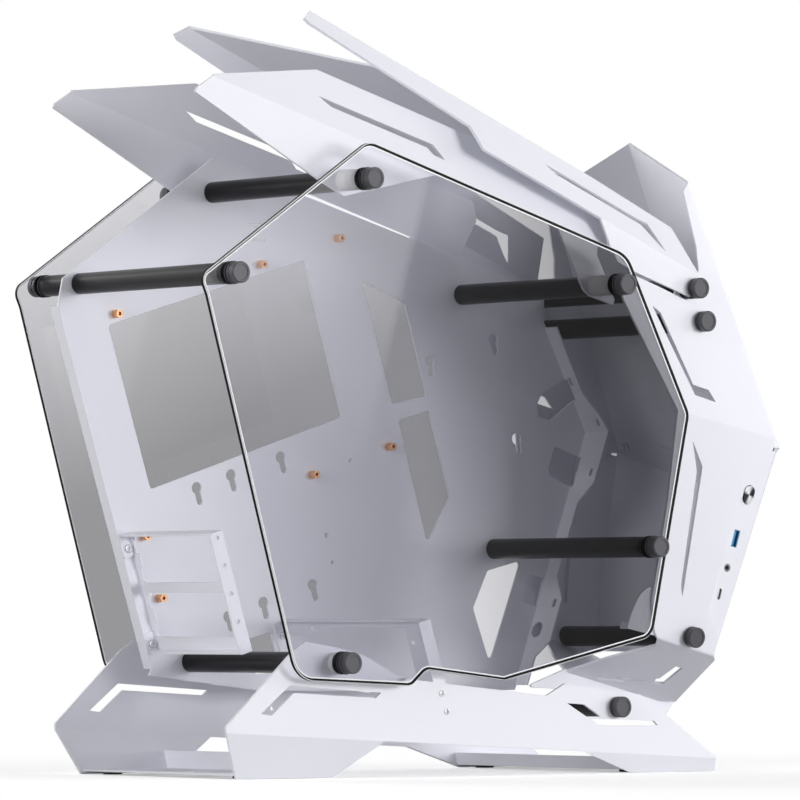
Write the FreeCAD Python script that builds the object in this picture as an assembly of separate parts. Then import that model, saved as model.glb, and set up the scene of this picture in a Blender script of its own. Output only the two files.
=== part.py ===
import FreeCAD, Part
import os
from math import cos, sin, tan, radians, degrees, hypot

from FreeCAD import Vector

os.makedirs("parts", exist_ok=True)

# Micro-ATX open-frame tower case, in millimetres.
# x runs from the rear to the front and is measured from the middle hole of the motherboard.
# y runs across the case from its centre plane; the left side, towards the board, is negative.
# z runs up from the floor. Everything is moved along x at the end, to stand over the origin.

# Driving sizes
PANEL_T = 2.0            # aluminium body sheets
TRAY_T = 1.5             # steel tray and brackets
GLASS_T = 4.0
CLEAR = 0.4              # round a moving piece
HOLE_CLEAR = 0.3         # on the diameter of a hole that a screw or a tube passes

TRAY_Y = 70.0            # face of the tray that carries the board
FOOT_H = 105.0           # half-width over the foot sheets
FOOT_TO_GLASS = 7.0
GLASS_IN = FOOT_H + FOOT_TO_GLASS    # half-width to the inner face of the glass
CHEEK_H = 96.0           # half-width over the cheeks and the upper wing flanges
WING_TO_CHEEK = 8.0
WING_H = CHEEK_H - WING_TO_CHEEK     # half-width over the lower wing flanges
RIDGE_H = 73.0           # half-width of the upper wing shoulder

BEYOND = 600.0           # longer than the case, for cutters that clear one side of it
BOARD_TILT = 17.2        # the board is turned in the plane of the tray, degrees
PANEL_BEND_R = 2.6       # outer radius of a bend in a body sheet

TUBE_D = 15.0
STUD_D = 6.0
STUD_BORE = 14.0
KNOB_D = 15.0
GLASS_KNOB_L = 9.0
PANEL_KNOB_L = 8.0
WASHER_D = 16.0
WASHER_T = 1.0

# axes of the cross tubes, as x and z
TUBE_REAR = (-202.7, 345.8)
TUBE_WING_REAR = (-88.4, 414.7)
TUBE_WING_FRONT = (136.6, 348.2)
TUBE_MIDDLE = (166.5, 161.3)
TUBE_FOOT_REAR = (-107.4, 79.4)
TUBE_FOOT_FRONT = (141.8, 47.0)
TUBE_CHEEK_UP = (228.6, 325.0)
TUBE_CHEEK_LOW = (235.7, 97.0)
TUBE_CROWN = (222.0, 348.8)

LEFT = Vector(0, -1, 0)
INWARD = Vector(0, 1, 0)
DOWN = Vector(0, 0, -1)


# Helpers
def unit(v):
    return v * (1.0 / v.Length)


def mirror_point(p):
    return Vector(p.x, -p.y, p.z)


def mirrored(shape):
    """The same piece on the right side of the case."""
    return shape.mirror(Vector(0, 0, 0), Vector(0, 1, 0))


def joined(shapes):
    first = shapes[0]
    if len(shapes) == 1:
        return first
    return first.fuse(shapes[1:]).removeSplitter()


def both_sides(shape):
    return joined([shape, mirrored(shape)])


def fold_frame(start, end, lean):
    """A frame on a fold line: along the fold, and down the next leaf.

    lean is the angle from the vertical, positive towards the centre plane on the left side.
    """
    along = unit(end - start)
    down = along.cross(INWARD)
    if down.z > 0:
        down = down * -1
    down = unit(down)
    side = unit(INWARD - along * along.dot(INWARD))
    across = down * cos(radians(lean)) + side * sin(radians(lean))
    return start, along, across


def slope_frame(start, slope, lean):
    """fold_frame for a fold that drops towards the front by slope degrees."""
    end = start + Vector(cos(radians(slope)), 0, -sin(radians(slope)))
    return fold_frame(start, end, lean)


def at(frame, s, v):
    origin, along, across = frame
    return origin + along * s + across * v


def on_frame(frame, outline):
    return [at(frame, s, v) for s, v in outline]


def on_wall(half_width, outline):
    """Points given as x and z on an upright wall of the left side."""
    return [Vector(x, -half_width, z) for x, z in outline]


def wall_spot(half_width, spot):
    """One point, given as x and z, on an upright wall of the left side."""
    return Vector(spot[0], -half_width, spot[1])


def face_of(points):
    return Part.Face(Part.makePolygon(list(points) + [points[0]]))


def normal_of(points, towards):
    n = face_of(points).normalAt(0, 0)
    if n.dot(towards) < 0:
        n = n * -1
    return n


def leaf(points, thickness, towards):
    """One flat leaf of a sheet; the points lie on its outer face."""
    return face_of(points).extrude(normal_of(points, towards) * thickness)


def through(points, reach=6.0):
    """A cutter that passes a sheet at both sides of its outer face."""
    n = normal_of(points, INWARD)
    face = face_of(points)
    face.translate(n * -reach)
    return face.extrude(n * 2 * reach)


def away_from_fold(start, way, point):
    """Unit vector in the plane of a leaf, square to the fold, towards a point of the leaf."""
    reach = point - start
    return unit(reach - way * reach.dot(way))


def rounded_bend(shape, start, end, point_a, point_b, radius=PANEL_BEND_R, past=0.0):
    """Round the outer edge of the fold from start to end; each leaf gives one of its points.

    past lengthens the cut at both ends, for a fold whose ends are free corners.
    """
    way = unit(end - start)
    start = start - way * past
    end = end + way * past
    side_a = away_from_fold(start, way, point_a)
    side_b = away_from_fold(start, way, point_b)
    half_bend = (180.0 - degrees(side_a.getAngle(side_b))) / 2.0
    middle = unit(side_a + side_b)
    tangent = radius * tan(radians(half_bend))
    centre = start + middle * (radius / cos(radians(half_bend)))
    arc = Part.Arc(start + side_a * tangent, centre - middle * radius, start + side_b * tangent)
    peak = start - middle * radius
    edges = [arc.toShape(), Part.makeLine(start + side_b * tangent, peak),
             Part.makeLine(peak, start + side_a * tangent)]
    tool = Part.Face(Part.Wire(edges)).extrude(end - start)
    return shape.cut(tool)


def rod(start, way, length, diameter):
    return Part.makeCylinder(diameter / 2.0, length, start, way)


def cross_rod(axis, y_from, y_to, diameter):
    """A round bar across the case on the axis (x, z)."""
    start = Vector(axis[0], y_from, axis[1])
    return rod(start, Vector(0, 1, 0), y_to - y_from, diameter)


def edges_along(shape, way, shortest=0.1):
    """Straight edges that run along one direction."""
    found = []
    for edge in shape.Edges:
        if edge.Curve.TypeId != "Part::GeomLine" or edge.Length < shortest:
            continue
        if abs(unit(edge.tangentAt(edge.FirstParameter)).dot(way)) > 0.9999:
            found.append(edge)
    return found


def soft_corners(shape, way, radius):
    return shape.makeFillet(radius, edges_along(shape, way))


# Motherboard tray
# hole pattern of a micro-ATX board, from its rear top hole: towards the front, and down
BOARD_HOLES = [(22.86, 0.0), (154.94, 0.0), (227.33, 0.0),
               (0.0, 157.48), (154.94, 157.48), (227.33, 157.48), (0.0, 203.2)]
BARE_HOLE = (154.94, 203.2)
MIDDLE_HOLE = (154.94, 157.48)
BOARD_HOLE_Z = 214.0     # height of the middle hole above the floor
BOARD_HOLE_D = 3.6
STANDOFF_H = 6.5
STANDOFF_AF = 5.5
STANDOFF_BORE = 2.6

TRAY_OUTLINE = [(-88.7, 439.0), (-217.0, 349.4), (-221.2, 329.6), (-140.4, 74.1), (-143.0, 69.6),
                (-48.7, 58.5), (60.0, 57.0), (186.3, 57.3), (254.7, 249.3), (214.0, 330.0),
                (214.0, 352.4)]
TRAY_REAR_EDGE = [(-221.2, 329.6), (-140.4, 74.1)]
TRAY_NOSE = (254.7, 249.3)
TRAY_FRONT_TOP = (214.0, 330.0)
TRAY_FRONT_LOW = (186.3, 57.3)
TRAY_REAR_LIP = 10.0
TRAY_RIM = 14.0          # width of the front flange
TRAY_EAR = 27.0          # width over its ears

TRAY_WINDOWS = [
    [(-178.6, 317.4), (-7.4, 369.1), (27.1, 256.2), (-141.9, 201.6)],
    [(44.3, 356.3), (84.4, 340.7), (104.6, 273.1), (72.5, 266.5)],
    [(78.0, 255.0), (106.4, 262.8), (125.8, 199.3), (104.6, 164.2)],
    [(160.5, 145.3), (191.7, 152.9), (162.6, 76.6), (147.1, 117.6)],
    [(-60.0, 94.7), (-36.8, 100.4), (-28.0, 72.0), (-50.0, 70.0)],
]
TRAY_FOLD_CUTS = [
    [(206.9, 268.5), (211.6, 276.8), (236.1, 289.1), (245.6, 274.9), (220.1, 257.6), (209.0, 259.4)],
    [(224.2, 238.3), (249.6, 229.1), (241.0, 207.0), (216.3, 217.9)],
    [(199.5, 143.5), (213.0, 139.9), (206.7, 118.9), (193.8, 122.6)],
]
TRAY_HATCH_D = 12.0      # round cable hole in the front flange, by the lower ear
TRAY_HATCH = (157.0, 8.0)    # down the flange from its nose, and out from the fold
WINDOW_CORNER_R = 2.5

# drive keyholes: the large round end, and the narrow end that the screw slides into
KEYHOLES = [((-101.8, 203.1), (-99.1, 193.7)), ((-71.8, 212.6), (-69.1, 203.5)),
            ((-27.9, 226.1), (-25.1, 217.0)), ((-43.1, 121.4), (-40.7, 112.2)),
            ((-74.0, 111.3), (-71.6, 103.3)), ((0.7, 134.3), (3.6, 125.1)),
            ((166.2, 316.2), (168.1, 307.3)), ((107.4, 298.8), (109.1, 289.5)),
            ((187.9, 243.1), (190.6, 234.1))]
KEYHOLE_BIG_D = 8.5
KEYHOLE_SMALL_D = 5.0
SMALL_HOLES = [(34.4, 224.6), (12.8, 170.3), (18.5, 150.6)]
SMALL_HOLE_D = 3.2
CABLE_LOOPS = [(-56.0, 392.0), (-53.0, 381.0)]   # pairs of short slots for a cable tie
CABLE_LOOP = (11.0, 2.0)


def board_point(hole):
    """Board coordinates turned into x and z on the tray."""
    u = hole[0] - MIDDLE_HOLE[0]
    v = hole[1] - MIDDLE_HOLE[1]
    c = cos(radians(BOARD_TILT))
    s = sin(radians(BOARD_TILT))
    return u * c + v * s, BOARD_HOLE_Z + u * s - v * c


def tray_points(outline):
    return [Vector(x, TRAY_Y, z) for x, z in outline]


def tray_bore(point, diameter):
    return cross_rod(point, TRAY_Y - 3, TRAY_Y + TRAY_T + 3, diameter)


def keyhole(big, small):
    """Two round ends and the neck between them."""
    dx = small[0] - big[0]
    dz = small[1] - big[1]
    length = hypot(dx, dz)
    nx = -dz / length * KEYHOLE_SMALL_D / 2.0
    nz = dx / length * KEYHOLE_SMALL_D / 2.0
    neck = [(big[0] + nx, big[1] + nz), (small[0] + nx, small[1] + nz),
            (small[0] - nx, small[1] - nz), (big[0] - nx, big[1] - nz)]
    return joined([tray_bore(big, KEYHOLE_BIG_D), tray_bore(small, KEYHOLE_SMALL_D),
                   through(tray_points(neck), 3.0)])


def tray_rim_leaf(top, bottom, outline):
    """A flange on the front edge of the tray, turned towards the board side."""
    start = Vector(top[0], TRAY_Y, top[1])
    along = unit(Vector(bottom[0], TRAY_Y, bottom[1]) - start)
    frame = (start, along, LEFT)
    return leaf(on_frame(frame, outline), TRAY_T, Vector(-1, 0, 0)), frame


def rim_hole(frame, s, v, width=3.4, length=6.0):
    """An upright slot in an ear of the front flange."""
    half = length / 2.0
    slot = [(s - half, v - width / 2.0), (s + half, v - width / 2.0),
            (s + half, v + width / 2.0), (s - half, v + width / 2.0)]
    points = on_frame(frame, slot)
    n = normal_of(points, Vector(1, 0, 0))
    face = face_of(points)
    face.translate(n * -6)
    return face.extrude(n * 12)


def rim_bore(frame, s, v, diameter):
    n = unit(frame[1].cross(frame[2]))
    return rod(at(frame, s, v) - n * 6, n, 12, diameter)


def make_tray():
    plate = leaf(tray_points(TRAY_OUTLINE), TRAY_T, INWARD)

    # rear lip, turned away from the board
    a = Vector(TRAY_REAR_EDGE[0][0], TRAY_Y, TRAY_REAR_EDGE[0][1])
    b = Vector(TRAY_REAR_EDGE[1][0], TRAY_Y, TRAY_REAR_EDGE[1][1])
    back = Vector(0, TRAY_REAR_LIP, 0)
    lip = leaf([a, b, b + back, a + back], TRAY_T, Vector(1, 0, 0))

    # front flange in two leaves that meet at the nose of the tray
    upper_len = hypot(TRAY_NOSE[0] - TRAY_FRONT_TOP[0], TRAY_NOSE[1] - TRAY_FRONT_TOP[1])
    upper, upper_frame = tray_rim_leaf(TRAY_FRONT_TOP, TRAY_NOSE, [
        (4, 0), (upper_len, 0), (upper_len, TRAY_EAR), (upper_len - 12, TRAY_EAR - 3),
        (upper_len - 32, TRAY_RIM), (4, TRAY_RIM)])
    lower, lower_frame = tray_rim_leaf(TRAY_NOSE, TRAY_FRONT_LOW, [
        (0, 0), (200, 0), (200, TRAY_RIM), (178, TRAY_RIM), (165, TRAY_EAR), (133, TRAY_EAR),
        (115, TRAY_RIM), (57, TRAY_RIM), (41, TRAY_EAR), (0, TRAY_EAR)])

    tray = joined([plate, lip, upper, lower])
    cutters = [rim_hole(upper_frame, upper_len - 8, 19), rim_hole(upper_frame, upper_len - 42, 6),
               rim_hole(lower_frame, 33, 20), rim_hole(lower_frame, 136, 20)]
    for outline in TRAY_WINDOWS + TRAY_FOLD_CUTS:
        cutters.append(soft_corners(through(tray_points(outline), 3.0), INWARD, WINDOW_CORNER_R))
    cutters.append(rim_bore(lower_frame, TRAY_HATCH[0], TRAY_HATCH[1], TRAY_HATCH_D))
    for big, small in KEYHOLES:
        cutters.append(keyhole(big, small))
    for hole in BOARD_HOLES + [BARE_HOLE]:
        cutters.append(tray_bore(board_point(hole), BOARD_HOLE_D))
    for point in SMALL_HOLES:
        cutters.append(tray_bore(point, SMALL_HOLE_D))
    for x, z in CABLE_LOOPS:
        long_side, short_side = CABLE_LOOP
        cutters.append(Part.makeBox(long_side, 6, short_side, Vector(x, TRAY_Y - 3, z)))
    for axis in GLASS_TUBES:
        cutters.append(tray_bore(axis, STUD_D + HOLE_CLEAR))
    for point in tab_screw_points():
        cutters.append(tray_bore(point, SCREW_D))
    return tray.cut(cutters)


def make_standoffs():
    pieces = []
    across = STANDOFF_AF / cos(radians(30)) / 2.0
    for hole in BOARD_HOLES:
        x, z = board_point(hole)
        corners = []
        for k in range(6):
            turn = radians(60 * k)
            corners.append(Vector(x + across * cos(turn), TRAY_Y - STANDOFF_H, z + across * sin(turn)))
        body = face_of(corners).extrude(Vector(0, STANDOFF_H, 0))
        stub = cross_rod((x, z), TRAY_Y, TRAY_Y + TRAY_T, BOARD_HOLE_D)
        bore = cross_rod((x, z), TRAY_Y - STANDOFF_H - 1, TRAY_Y - 0.5, STANDOFF_BORE)
        pieces.append(body.fuse(stub).cut(bore).removeSplitter())
    return Part.makeCompound(pieces)


# Glass
GLASS_OUTLINE = [(-229.5, 343.0), (-223.8, 330.0), (-148.0, 67.5), (-50.0, 63.0), (-37.0, 74.5),
                 (32.0, 66.5), (166.0, 97.0), (200.5, 257.0), (143.5, 370.0), (-87.0, 441.0)]
GLASS_CORNER_R = [9.0, 14.0, 20.0, 9.0, 9.0, 7.0, 14.0, 12.0, 22.0, 14.0]
GLASS_TUBES = [TUBE_REAR, TUBE_WING_REAR, TUBE_WING_FRONT, TUBE_MIDDLE, TUBE_FOOT_REAR]
GLASS_HOLE_D = STUD_D + 2.0
GLASS_EDGE = 0.6


def make_glass():
    """One pane, with round corners of its own radius each, holes and ground edges."""
    pane = leaf(on_wall(GLASS_IN + GLASS_T, GLASS_OUTLINE), GLASS_T, INWARD)
    for (x, z), radius in zip(GLASS_OUTLINE, GLASS_CORNER_R):
        for edge in edges_along(pane, INWARD):
            spot = edge.Vertexes[0].Point
            if hypot(spot.x - x, spot.z - z) < 0.01:
                pane = pane.makeFillet(radius, [edge])
                break
    for axis in GLASS_TUBES:
        pane = pane.cut(cross_rod(axis, -GLASS_IN - GLASS_T - 1, -GLASS_IN + 1, GLASS_HOLE_D))
    rim = []
    for edge in pane.Edges:
        middle = edge.valueAt((edge.FirstParameter + edge.LastParameter) / 2.0)
        flat = all(abs(v.Point.y - middle.y) < 0.01 for v in edge.Vertexes)
        if flat and not (edge.Curve.TypeId == "Part::GeomCircle" and len(edge.Vertexes) == 1):
            rim.append(edge)
    return pane.makeChamfer(GLASS_EDGE, rim)


# Upper wing sheet
UPPER_TIP = wall_spot(RIDGE_H, (-106.5, 533.5))
UPPER_SLOPE = 22.85
UPPER_LEAN = -35.5
RIDGE_RISE = 21.0        # the ridge stands this much above the shoulders
ROOF_START = 126.0       # the notch between the two rear points ends here, along the fold
ROOF_END = 271.0
UPPER_FLANGE_V = (CHEEK_H - RIDGE_H) / sin(radians(-UPPER_LEAN))
UPPER_SIDE = [(0.0, 0.0), (-6.5, 11.5), (-2.5, 13.5), (150.0, 23.0), (161.0, UPPER_FLANGE_V),
              (375.0, UPPER_FLANGE_V), (352.5, 4.0), (ROOF_END, 0.0)]
UPPER_FLANGE_S = (275.0, 375.0)
UPPER_FLANGE = [(235.2, 349.5), (217.3, 342.5), (164.3, 359.5), (150.5, 365.6), (145.0, 374.0)]
UPPER_SLOT = [(223.7, 16.0), (315.1, 16.7), (325.7, 15.6), (341.8, 35.0), (331.0, 29.0),
              (318.5, 20.9), (233.0, 20.3)]


def make_upper_wing():
    """Ridge roof: two inner leaves, two steep side leaves and two upright flanges."""
    frame = slope_frame(UPPER_TIP, UPPER_SLOPE, UPPER_LEAN)
    side = leaf(on_frame(frame, UPPER_SIDE), PANEL_T, INWARD)
    to_ridge = Vector(0, RIDGE_H, RIDGE_RISE)
    roof = leaf([at(frame, 0, 0), at(frame, ROOF_END, 0), at(frame, ROOF_END, 0) + to_ridge,
                 at(frame, ROOF_START, 0) + to_ridge], PANEL_T, DOWN)
    fold = [at(frame, s, UPPER_FLANGE_V) for s in UPPER_FLANGE_S]
    flange = leaf(fold + on_wall(CHEEK_H, UPPER_FLANGE), PANEL_T, INWARD)
    half = joined([side, roof, flange])
    half = half.cut([through(on_frame(frame, UPPER_SLOT)),
                     cross_rod(TUBE_CROWN, -CHEEK_H - 1, -CHEEK_H + 4, STUD_D + HOLE_CLEAR)])
    shoulder = (at(frame, 0, 0), at(frame, ROOF_END, 0))
    ridge_end = shoulder[1] + to_ridge
    half = rounded_bend(half, fold[0], fold[1], at(frame, *UPPER_SIDE[2]), fold[0] + DOWN)
    half = rounded_bend(half, shoulder[0], shoulder[1], fold[0], ridge_end)
    wing = both_sides(half)
    ridge_start = at(frame, ROOF_START, 0) + to_ridge
    return rounded_bend(wing, ridge_start, ridge_end, shoulder[1], mirror_point(shoulder[1]))


# Lower wings
WING_FOLD = wall_spot(WING_H, (-199.8, 482.1))
WING_SLOPE = 16.8
WING_LEAN = 21.0
WING_FACE = [(0.0, 0.0), (0.0, -1.9), (91.5, -41.5), (352.0, -42.0), (362.0, -30.0), (362.0, 0.0)]
WING_SLOT = [(93.2, -20.6), (198.1, -21.5), (209.5, -12.9), (199.0, -13.2), (192.5, -17.0),
             (105.3, -16.2)]
WING_REAR_TAB = [(-213.5, 473.5), (-214.5, 470.5), (-110.1, 414.5), (-88.1, 403.8), (-6.8, 422.0)]
WING_FRONT_TAB = [(103.0, 386.5), (125.6, 345.1), (131.1, 341.0), (152.3, 335.1), (154.1, 338.7),
                  (137.5, 371.0)]
WING_TAB_S = (0.0, 203.5)
WING_FRONT_TAB_S = (315.0, 354.0)


def make_lower_wing():
    """A steep face above the glass, and two upright tabs that take the cross tubes."""
    frame = slope_frame(WING_FOLD, WING_SLOPE, -WING_LEAN)
    face = leaf(on_frame(frame, WING_FACE), PANEL_T, INWARD)
    rear = [at(frame, s, 0) for s in WING_TAB_S]
    front = [at(frame, s, 0) for s in WING_FRONT_TAB_S]
    rear_tab = leaf([rear[0]] + on_wall(WING_H, WING_REAR_TAB) + [rear[1]], PANEL_T, INWARD)
    front_tab = leaf([front[0]] + on_wall(WING_H, WING_FRONT_TAB) + [front[1]], PANEL_T, INWARD)
    wing = joined([face, rear_tab, front_tab])
    wing = wing.cut([through(on_frame(frame, WING_SLOT)),
                     cross_rod(TUBE_WING_REAR, -WING_H - 1, -WING_H + 4, STUD_D + HOLE_CLEAR),
                     cross_rod(TUBE_WING_FRONT, -WING_H - 1, -WING_H + 4, STUD_D + HOLE_CLEAR)])
    peak = at(frame, *WING_FACE[2])
    wing = rounded_bend(wing, rear[0], rear[1], peak, rear[0] + DOWN)
    return rounded_bend(wing, front[0], front[1], peak, front[0] + DOWN)


# Front mask
MASK_PEAK = wall_spot(0, (239.7, 460.8))
MASK_RAKE = 0.4125       # x gained for each millimetre down
MASK_SWEEP = 0.3043      # x lost for each millimetre away from the ridge
MASK_SKIN = 1.0          # left in front of the blind holes for the jaw screws
CREST_IN = 15.3          # the upper corner stands in from the cheek
NOSE_IN = 2.5            # and the lower corner
CREST = (CHEEK_H - CREST_IN, 427.2)    # half-width and height
NOSE = (CHEEK_H - NOSE_IN, 234.7)
BEAK_Z = 200.0           # the ridge ends here, lower than the two side corners
MASK_FLANGE = [(223.5, 419.7), (233.5, 380.0), (234.5, 362.0), (214.0, 356.0), (210.0, 338.0),
               (216.0, 312.0), (238.0, 306.0), (264.0, 278.0), (288.0, 243.0), (290.0, 234.7)]


def mask_point(half_width, z):
    x = MASK_PEAK.x + (MASK_PEAK.z - z) * MASK_RAKE - half_width * MASK_SWEEP
    return Vector(x, -half_width, z)


def mask_flange_point(x, z):
    spread = (NOSE[0] - CREST[0]) / (CREST[1] - NOSE[1])
    return Vector(x, -(CREST[0] + (CREST[1] - z) * spread), z)


def make_mask():
    """Two raked faces that meet on the ridge, each with a flange turned back along its side."""
    crest = mask_point(*CREST)
    nose = mask_point(*NOSE)
    peak = mask_point(0, MASK_PEAK.z)
    beak = mask_point(0, BEAK_Z)
    face = leaf([peak, crest, nose, beak], PANEL_T, Vector(-1, 0, 0))
    flange = leaf([crest] + [mask_flange_point(x, z) for x, z in MASK_FLANGE] + [nose],
                  PANEL_T, INWARD)
    half = joined([face, flange])
    holes = []
    for axis in (TUBE_CROWN, TUBE_CHEEK_UP):
        holes.append(cross_rod(axis, -CHEEK_H, -CREST[0] + 8, TUBE_D))
    holes.append(jaw_screw_bore(PANEL_T + 1, MASK_SKIN))
    half = half.cut(holes)
    half = rounded_bend(half, crest, nose, peak, mask_flange_point(*MASK_FLANGE[3]))
    mask = both_sides(half)
    return rounded_bend(mask, peak, beak, crest, mirror_point(crest))


# Cheeks
CHEEK_FOLD = wall_spot(CHEEK_H, (215.7, 258.3))
CHEEK_SLOPE = 11.8
CHEEK_LEAN = 8.0
CHIN_LEAN = 67.0
CHEEK_FOLD_S = (-9.9, 84.1)
CHEEK_UPPER = [(156.0, 338.5), (151.0, 352.0), (157.0, 357.5), (165.2, 356.7), (191.8, 347.9),
               (232.9, 333.0), (241.7, 323.6)]
CHEEK_UPPER_SLOT = [(182.3, 335.1), (190.0, 330.2), (220.2, 279.1), (234.6, 275.5),
                    (241.6, 266.8), (222.0, 271.6)]
CHEEK_LOWER = [(-9.9, 0.0), (1.2, 64.4), (9.4, 137.1), (19.2, 158.9), (22.9, 162.7),
               (77.8, 164.9), (76.7, 147.1), (63.0, 133.5), (65.3, 31.7), (84.1, 20.3),
               (84.1, 0.0)]
CHEEK_LOWER_SLOT = [(9.9, 18.2), (24.6, 34.4), (35.9, 129.2), (31.9, 121.5), (20.6, 38.9)]
CHIN_END = CHEEK_H - 14.0     # down the chin, a little past the centre plane
CHIN = [(0.0, 0.0), (54.9, 0.0), (59.7, 4.4), (81.5, CHIN_END - 9.5), (60.6, CHIN_END),
        (-21.0, CHIN_END), (-7.8, 43.4), (7.6, 10.5)]
CHIN_SLOTS = [[(6.0, 74.5), (8.2, 67.9), (40.6, 56.5), (27.2, 68.3)],
              [(47.4, 58.4), (54.3, 55.0), (48.6, 27.1), (42.4, 28.2), (45.5, 49.6), (43.5, 51.1)]]
RIB_T = 2.0              # upright rib on the centre plane, where the two chins meet


def cheek_frame():
    return slope_frame(CHEEK_FOLD, CHEEK_SLOPE, CHEEK_LEAN)


def chin_frame():
    lower = cheek_frame()
    return fold_frame(at(lower, *CHEEK_LOWER[4]), at(lower, *CHEEK_LOWER[5]), CHIN_LEAN)


def inner_normal(frame):
    n = frame[1].cross(frame[2])
    if n.dot(INWARD) < 0:
        n = n * -1
    return unit(n)


def make_cheek():
    """Upright upper leaf, a leaf that leans in, and the chin that turns under the case."""
    lower = cheek_frame()
    chin = chin_frame()
    fold = [at(lower, s, 0) for s in CHEEK_FOLD_S]
    upper_leaf = leaf([fold[0]] + on_wall(CHEEK_H, CHEEK_UPPER) + [fold[1]], PANEL_T, INWARD)
    lower_leaf = leaf(on_frame(lower, CHEEK_LOWER), PANEL_T, INWARD)
    chin_leaf = leaf(on_frame(chin, CHIN), PANEL_T, INWARD)
    cheek = joined([upper_leaf, lower_leaf, chin_leaf])
    beyond_rib = Part.makeBox(BEYOND, BEYOND, BEYOND, Vector(0, -RIB_T / 2.0, -BEYOND / 2.0))
    knob = at(lower, *CHEEK_KNOB)
    n = inner_normal(lower)
    cutters = [beyond_rib, through(on_wall(CHEEK_H, CHEEK_UPPER_SLOT)),
               through(on_frame(lower, CHEEK_LOWER_SLOT)),
               cross_rod(TUBE_CHEEK_UP, -CHEEK_H - 1, -CHEEK_H + 4, STUD_D + HOLE_CLEAR),
               rod(knob - n * 2, n, PANEL_T + 4, STUD_D + HOLE_CLEAR)]
    for outline in CHIN_SLOTS:
        cutters.append(through(on_frame(chin, outline), 4.0))
    cheek = cheek.cut(cutters)
    low_fold = (at(lower, *CHEEK_LOWER[4]), at(lower, *CHEEK_LOWER[5]))
    cheek = rounded_bend(cheek, fold[0], fold[1], at(lower, 0, 50), fold[0] - DOWN, past=2.0)
    return rounded_bend(cheek, low_fold[0], low_fold[1], at(lower, *CHEEK_LOWER[2]),
                        at(chin, 0, 50), past=2.0)


# x and z of the rib: the tongue that sticks out at the rear comes first
RIB = [(145.0, 61.2), (147.5, 62.9), (178.5, 73.6), (256.0, 53.5), (281.7, 50.0), (272.1, 39.6),
       (169.5, 58.7), (147.5, 60.0)]
RIB_DRAWN_AT = 96.0      # half-width over the cheeks for which these heights hold


def make_rib():
    """The chins slope down to the rib, so wider cheeks carry it lower."""
    drop = (CHEEK_H - RIB_DRAWN_AT) / tan(radians(CHIN_LEAN))
    points = [Vector(x, -RIB_T / 2.0, z - drop) for x, z in RIB]
    return leaf(points, RIB_T, INWARD)


# Jaw
# the strip with the ports runs down the right edge; an arm crosses behind the cheek
JAW_SIDE = [(50.0, 9.0), (88.5, 9.0), (79.0, 161.5), (-4.3, 161.5), (-4.6, 156.5), (-4.2, 149.0),
            (-1.1, 136.0), (4.0, 129.5), (11.1, 126.6), (36.0, 133.0), (50.0, 131.0)]
JAW_ARM_LIP = 9.0        # turned in at the rear end of the arm
JAW_LAP = 20.0           # height of the band that lies behind the mask
JAW_NOTCH = [(-10.0, 145.0), (28.0, 145.0), (28.0, 170.0), (-10.0, 170.0)]   # clears the tray
CHEEK_KNOB = (52.5, 155.3)
JAW_LOW_Z = 84.0
JAW_SCREW = (CHEEK_H - 13.0, 241.0)   # half-width and height


def jaw_frame():
    """The port strip lies against the inner face of the cheek."""
    origin, along, across = cheek_frame()
    return origin + inner_normal(cheek_frame()) * PANEL_T, along, across


def plane_x(p, q, r, y, z):
    """x of the point with this y and z on the plane through three points."""
    n = (q - p).cross(r - p)
    return p.x - ((y - p.y) * n.y + (z - p.z) * n.z) / n.x


def mask_back_point(half_width, z):
    """A point on the inner face of the mask."""
    shift = PANEL_T * Vector(1, -MASK_SWEEP, MASK_RAKE).Length
    return mask_point(half_width, z) - Vector(shift, 0, 0)


def jaw_screw_bore(deep, shallow):
    """Bore for the left jaw screw between two depths below the outer face of the mask."""
    n = unit(Vector(1, -MASK_SWEEP, MASK_RAKE))
    return rod(mask_point(*JAW_SCREW) - n * deep, n, deep - shallow, SCREW_D)


def mask_lower_z(half_width):
    """Height of the lower edge of the mask."""
    return BEAK_Z + (NOSE[1] - BEAK_Z) * half_width / NOSE[0]


def make_jaw():
    """Lower front: two faces that meet on the ridge, a band behind the mask and side arms."""
    frame = jaw_frame()
    top = at(frame, *JAW_SIDE[1])
    low = at(frame, *JAW_SIDE[2])
    half_top = -top.y
    ridge_top = mask_back_point(0, BEAK_Z)
    corner = mask_back_point(half_top, mask_lower_z(half_top))
    ridge_low = Vector(plane_x(corner, low, ridge_top, 0, JAW_LOW_Z), 0, JAW_LOW_Z)
    side = leaf(on_frame(frame, JAW_SIDE), PANEL_T, INWARD)
    face = leaf([corner, low, ridge_low, ridge_top], PANEL_T, Vector(-1, 0, 0))
    lap_half = half_top - 6.0
    band = leaf([mask_back_point(lap_half, mask_lower_z(lap_half)), ridge_top,
                 mask_back_point(0, BEAK_Z + JAW_LAP),
                 mask_back_point(lap_half, mask_lower_z(lap_half) + JAW_LAP)],
                PANEL_T, Vector(-1, 0, 0))
    heel = at(frame, *JAW_SIDE[4])
    foot = at(frame, *JAW_SIDE[3])
    lip = leaf([foot, heel, heel + INWARD * JAW_ARM_LIP, foot + INWARD * JAW_ARM_LIP], PANEL_T,
               Vector(1, 0, 0))
    half = joined([side, face, band, lip])
    half = half.cut(Part.makeBox(BEYOND, BEYOND, BEYOND, Vector(0, 0, -BEYOND / 2.0)))
    knob = at(frame, *CHEEK_KNOB)
    across = inner_normal(frame)
    half = half.cut([rod(knob - across * 3, across, 8, STUD_D + HOLE_CLEAR),
                     jaw_screw_bore(2 * PANEL_T + 3, 0)])
    jaw = both_sides(half)
    jaw = rounded_bend(jaw, ridge_top, ridge_low, corner, mirror_point(corner))
    notch = through(on_frame(frame, JAW_NOTCH), 12.0)
    return jaw.cut(port_cutters() + [mirrored(notch)])


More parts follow.
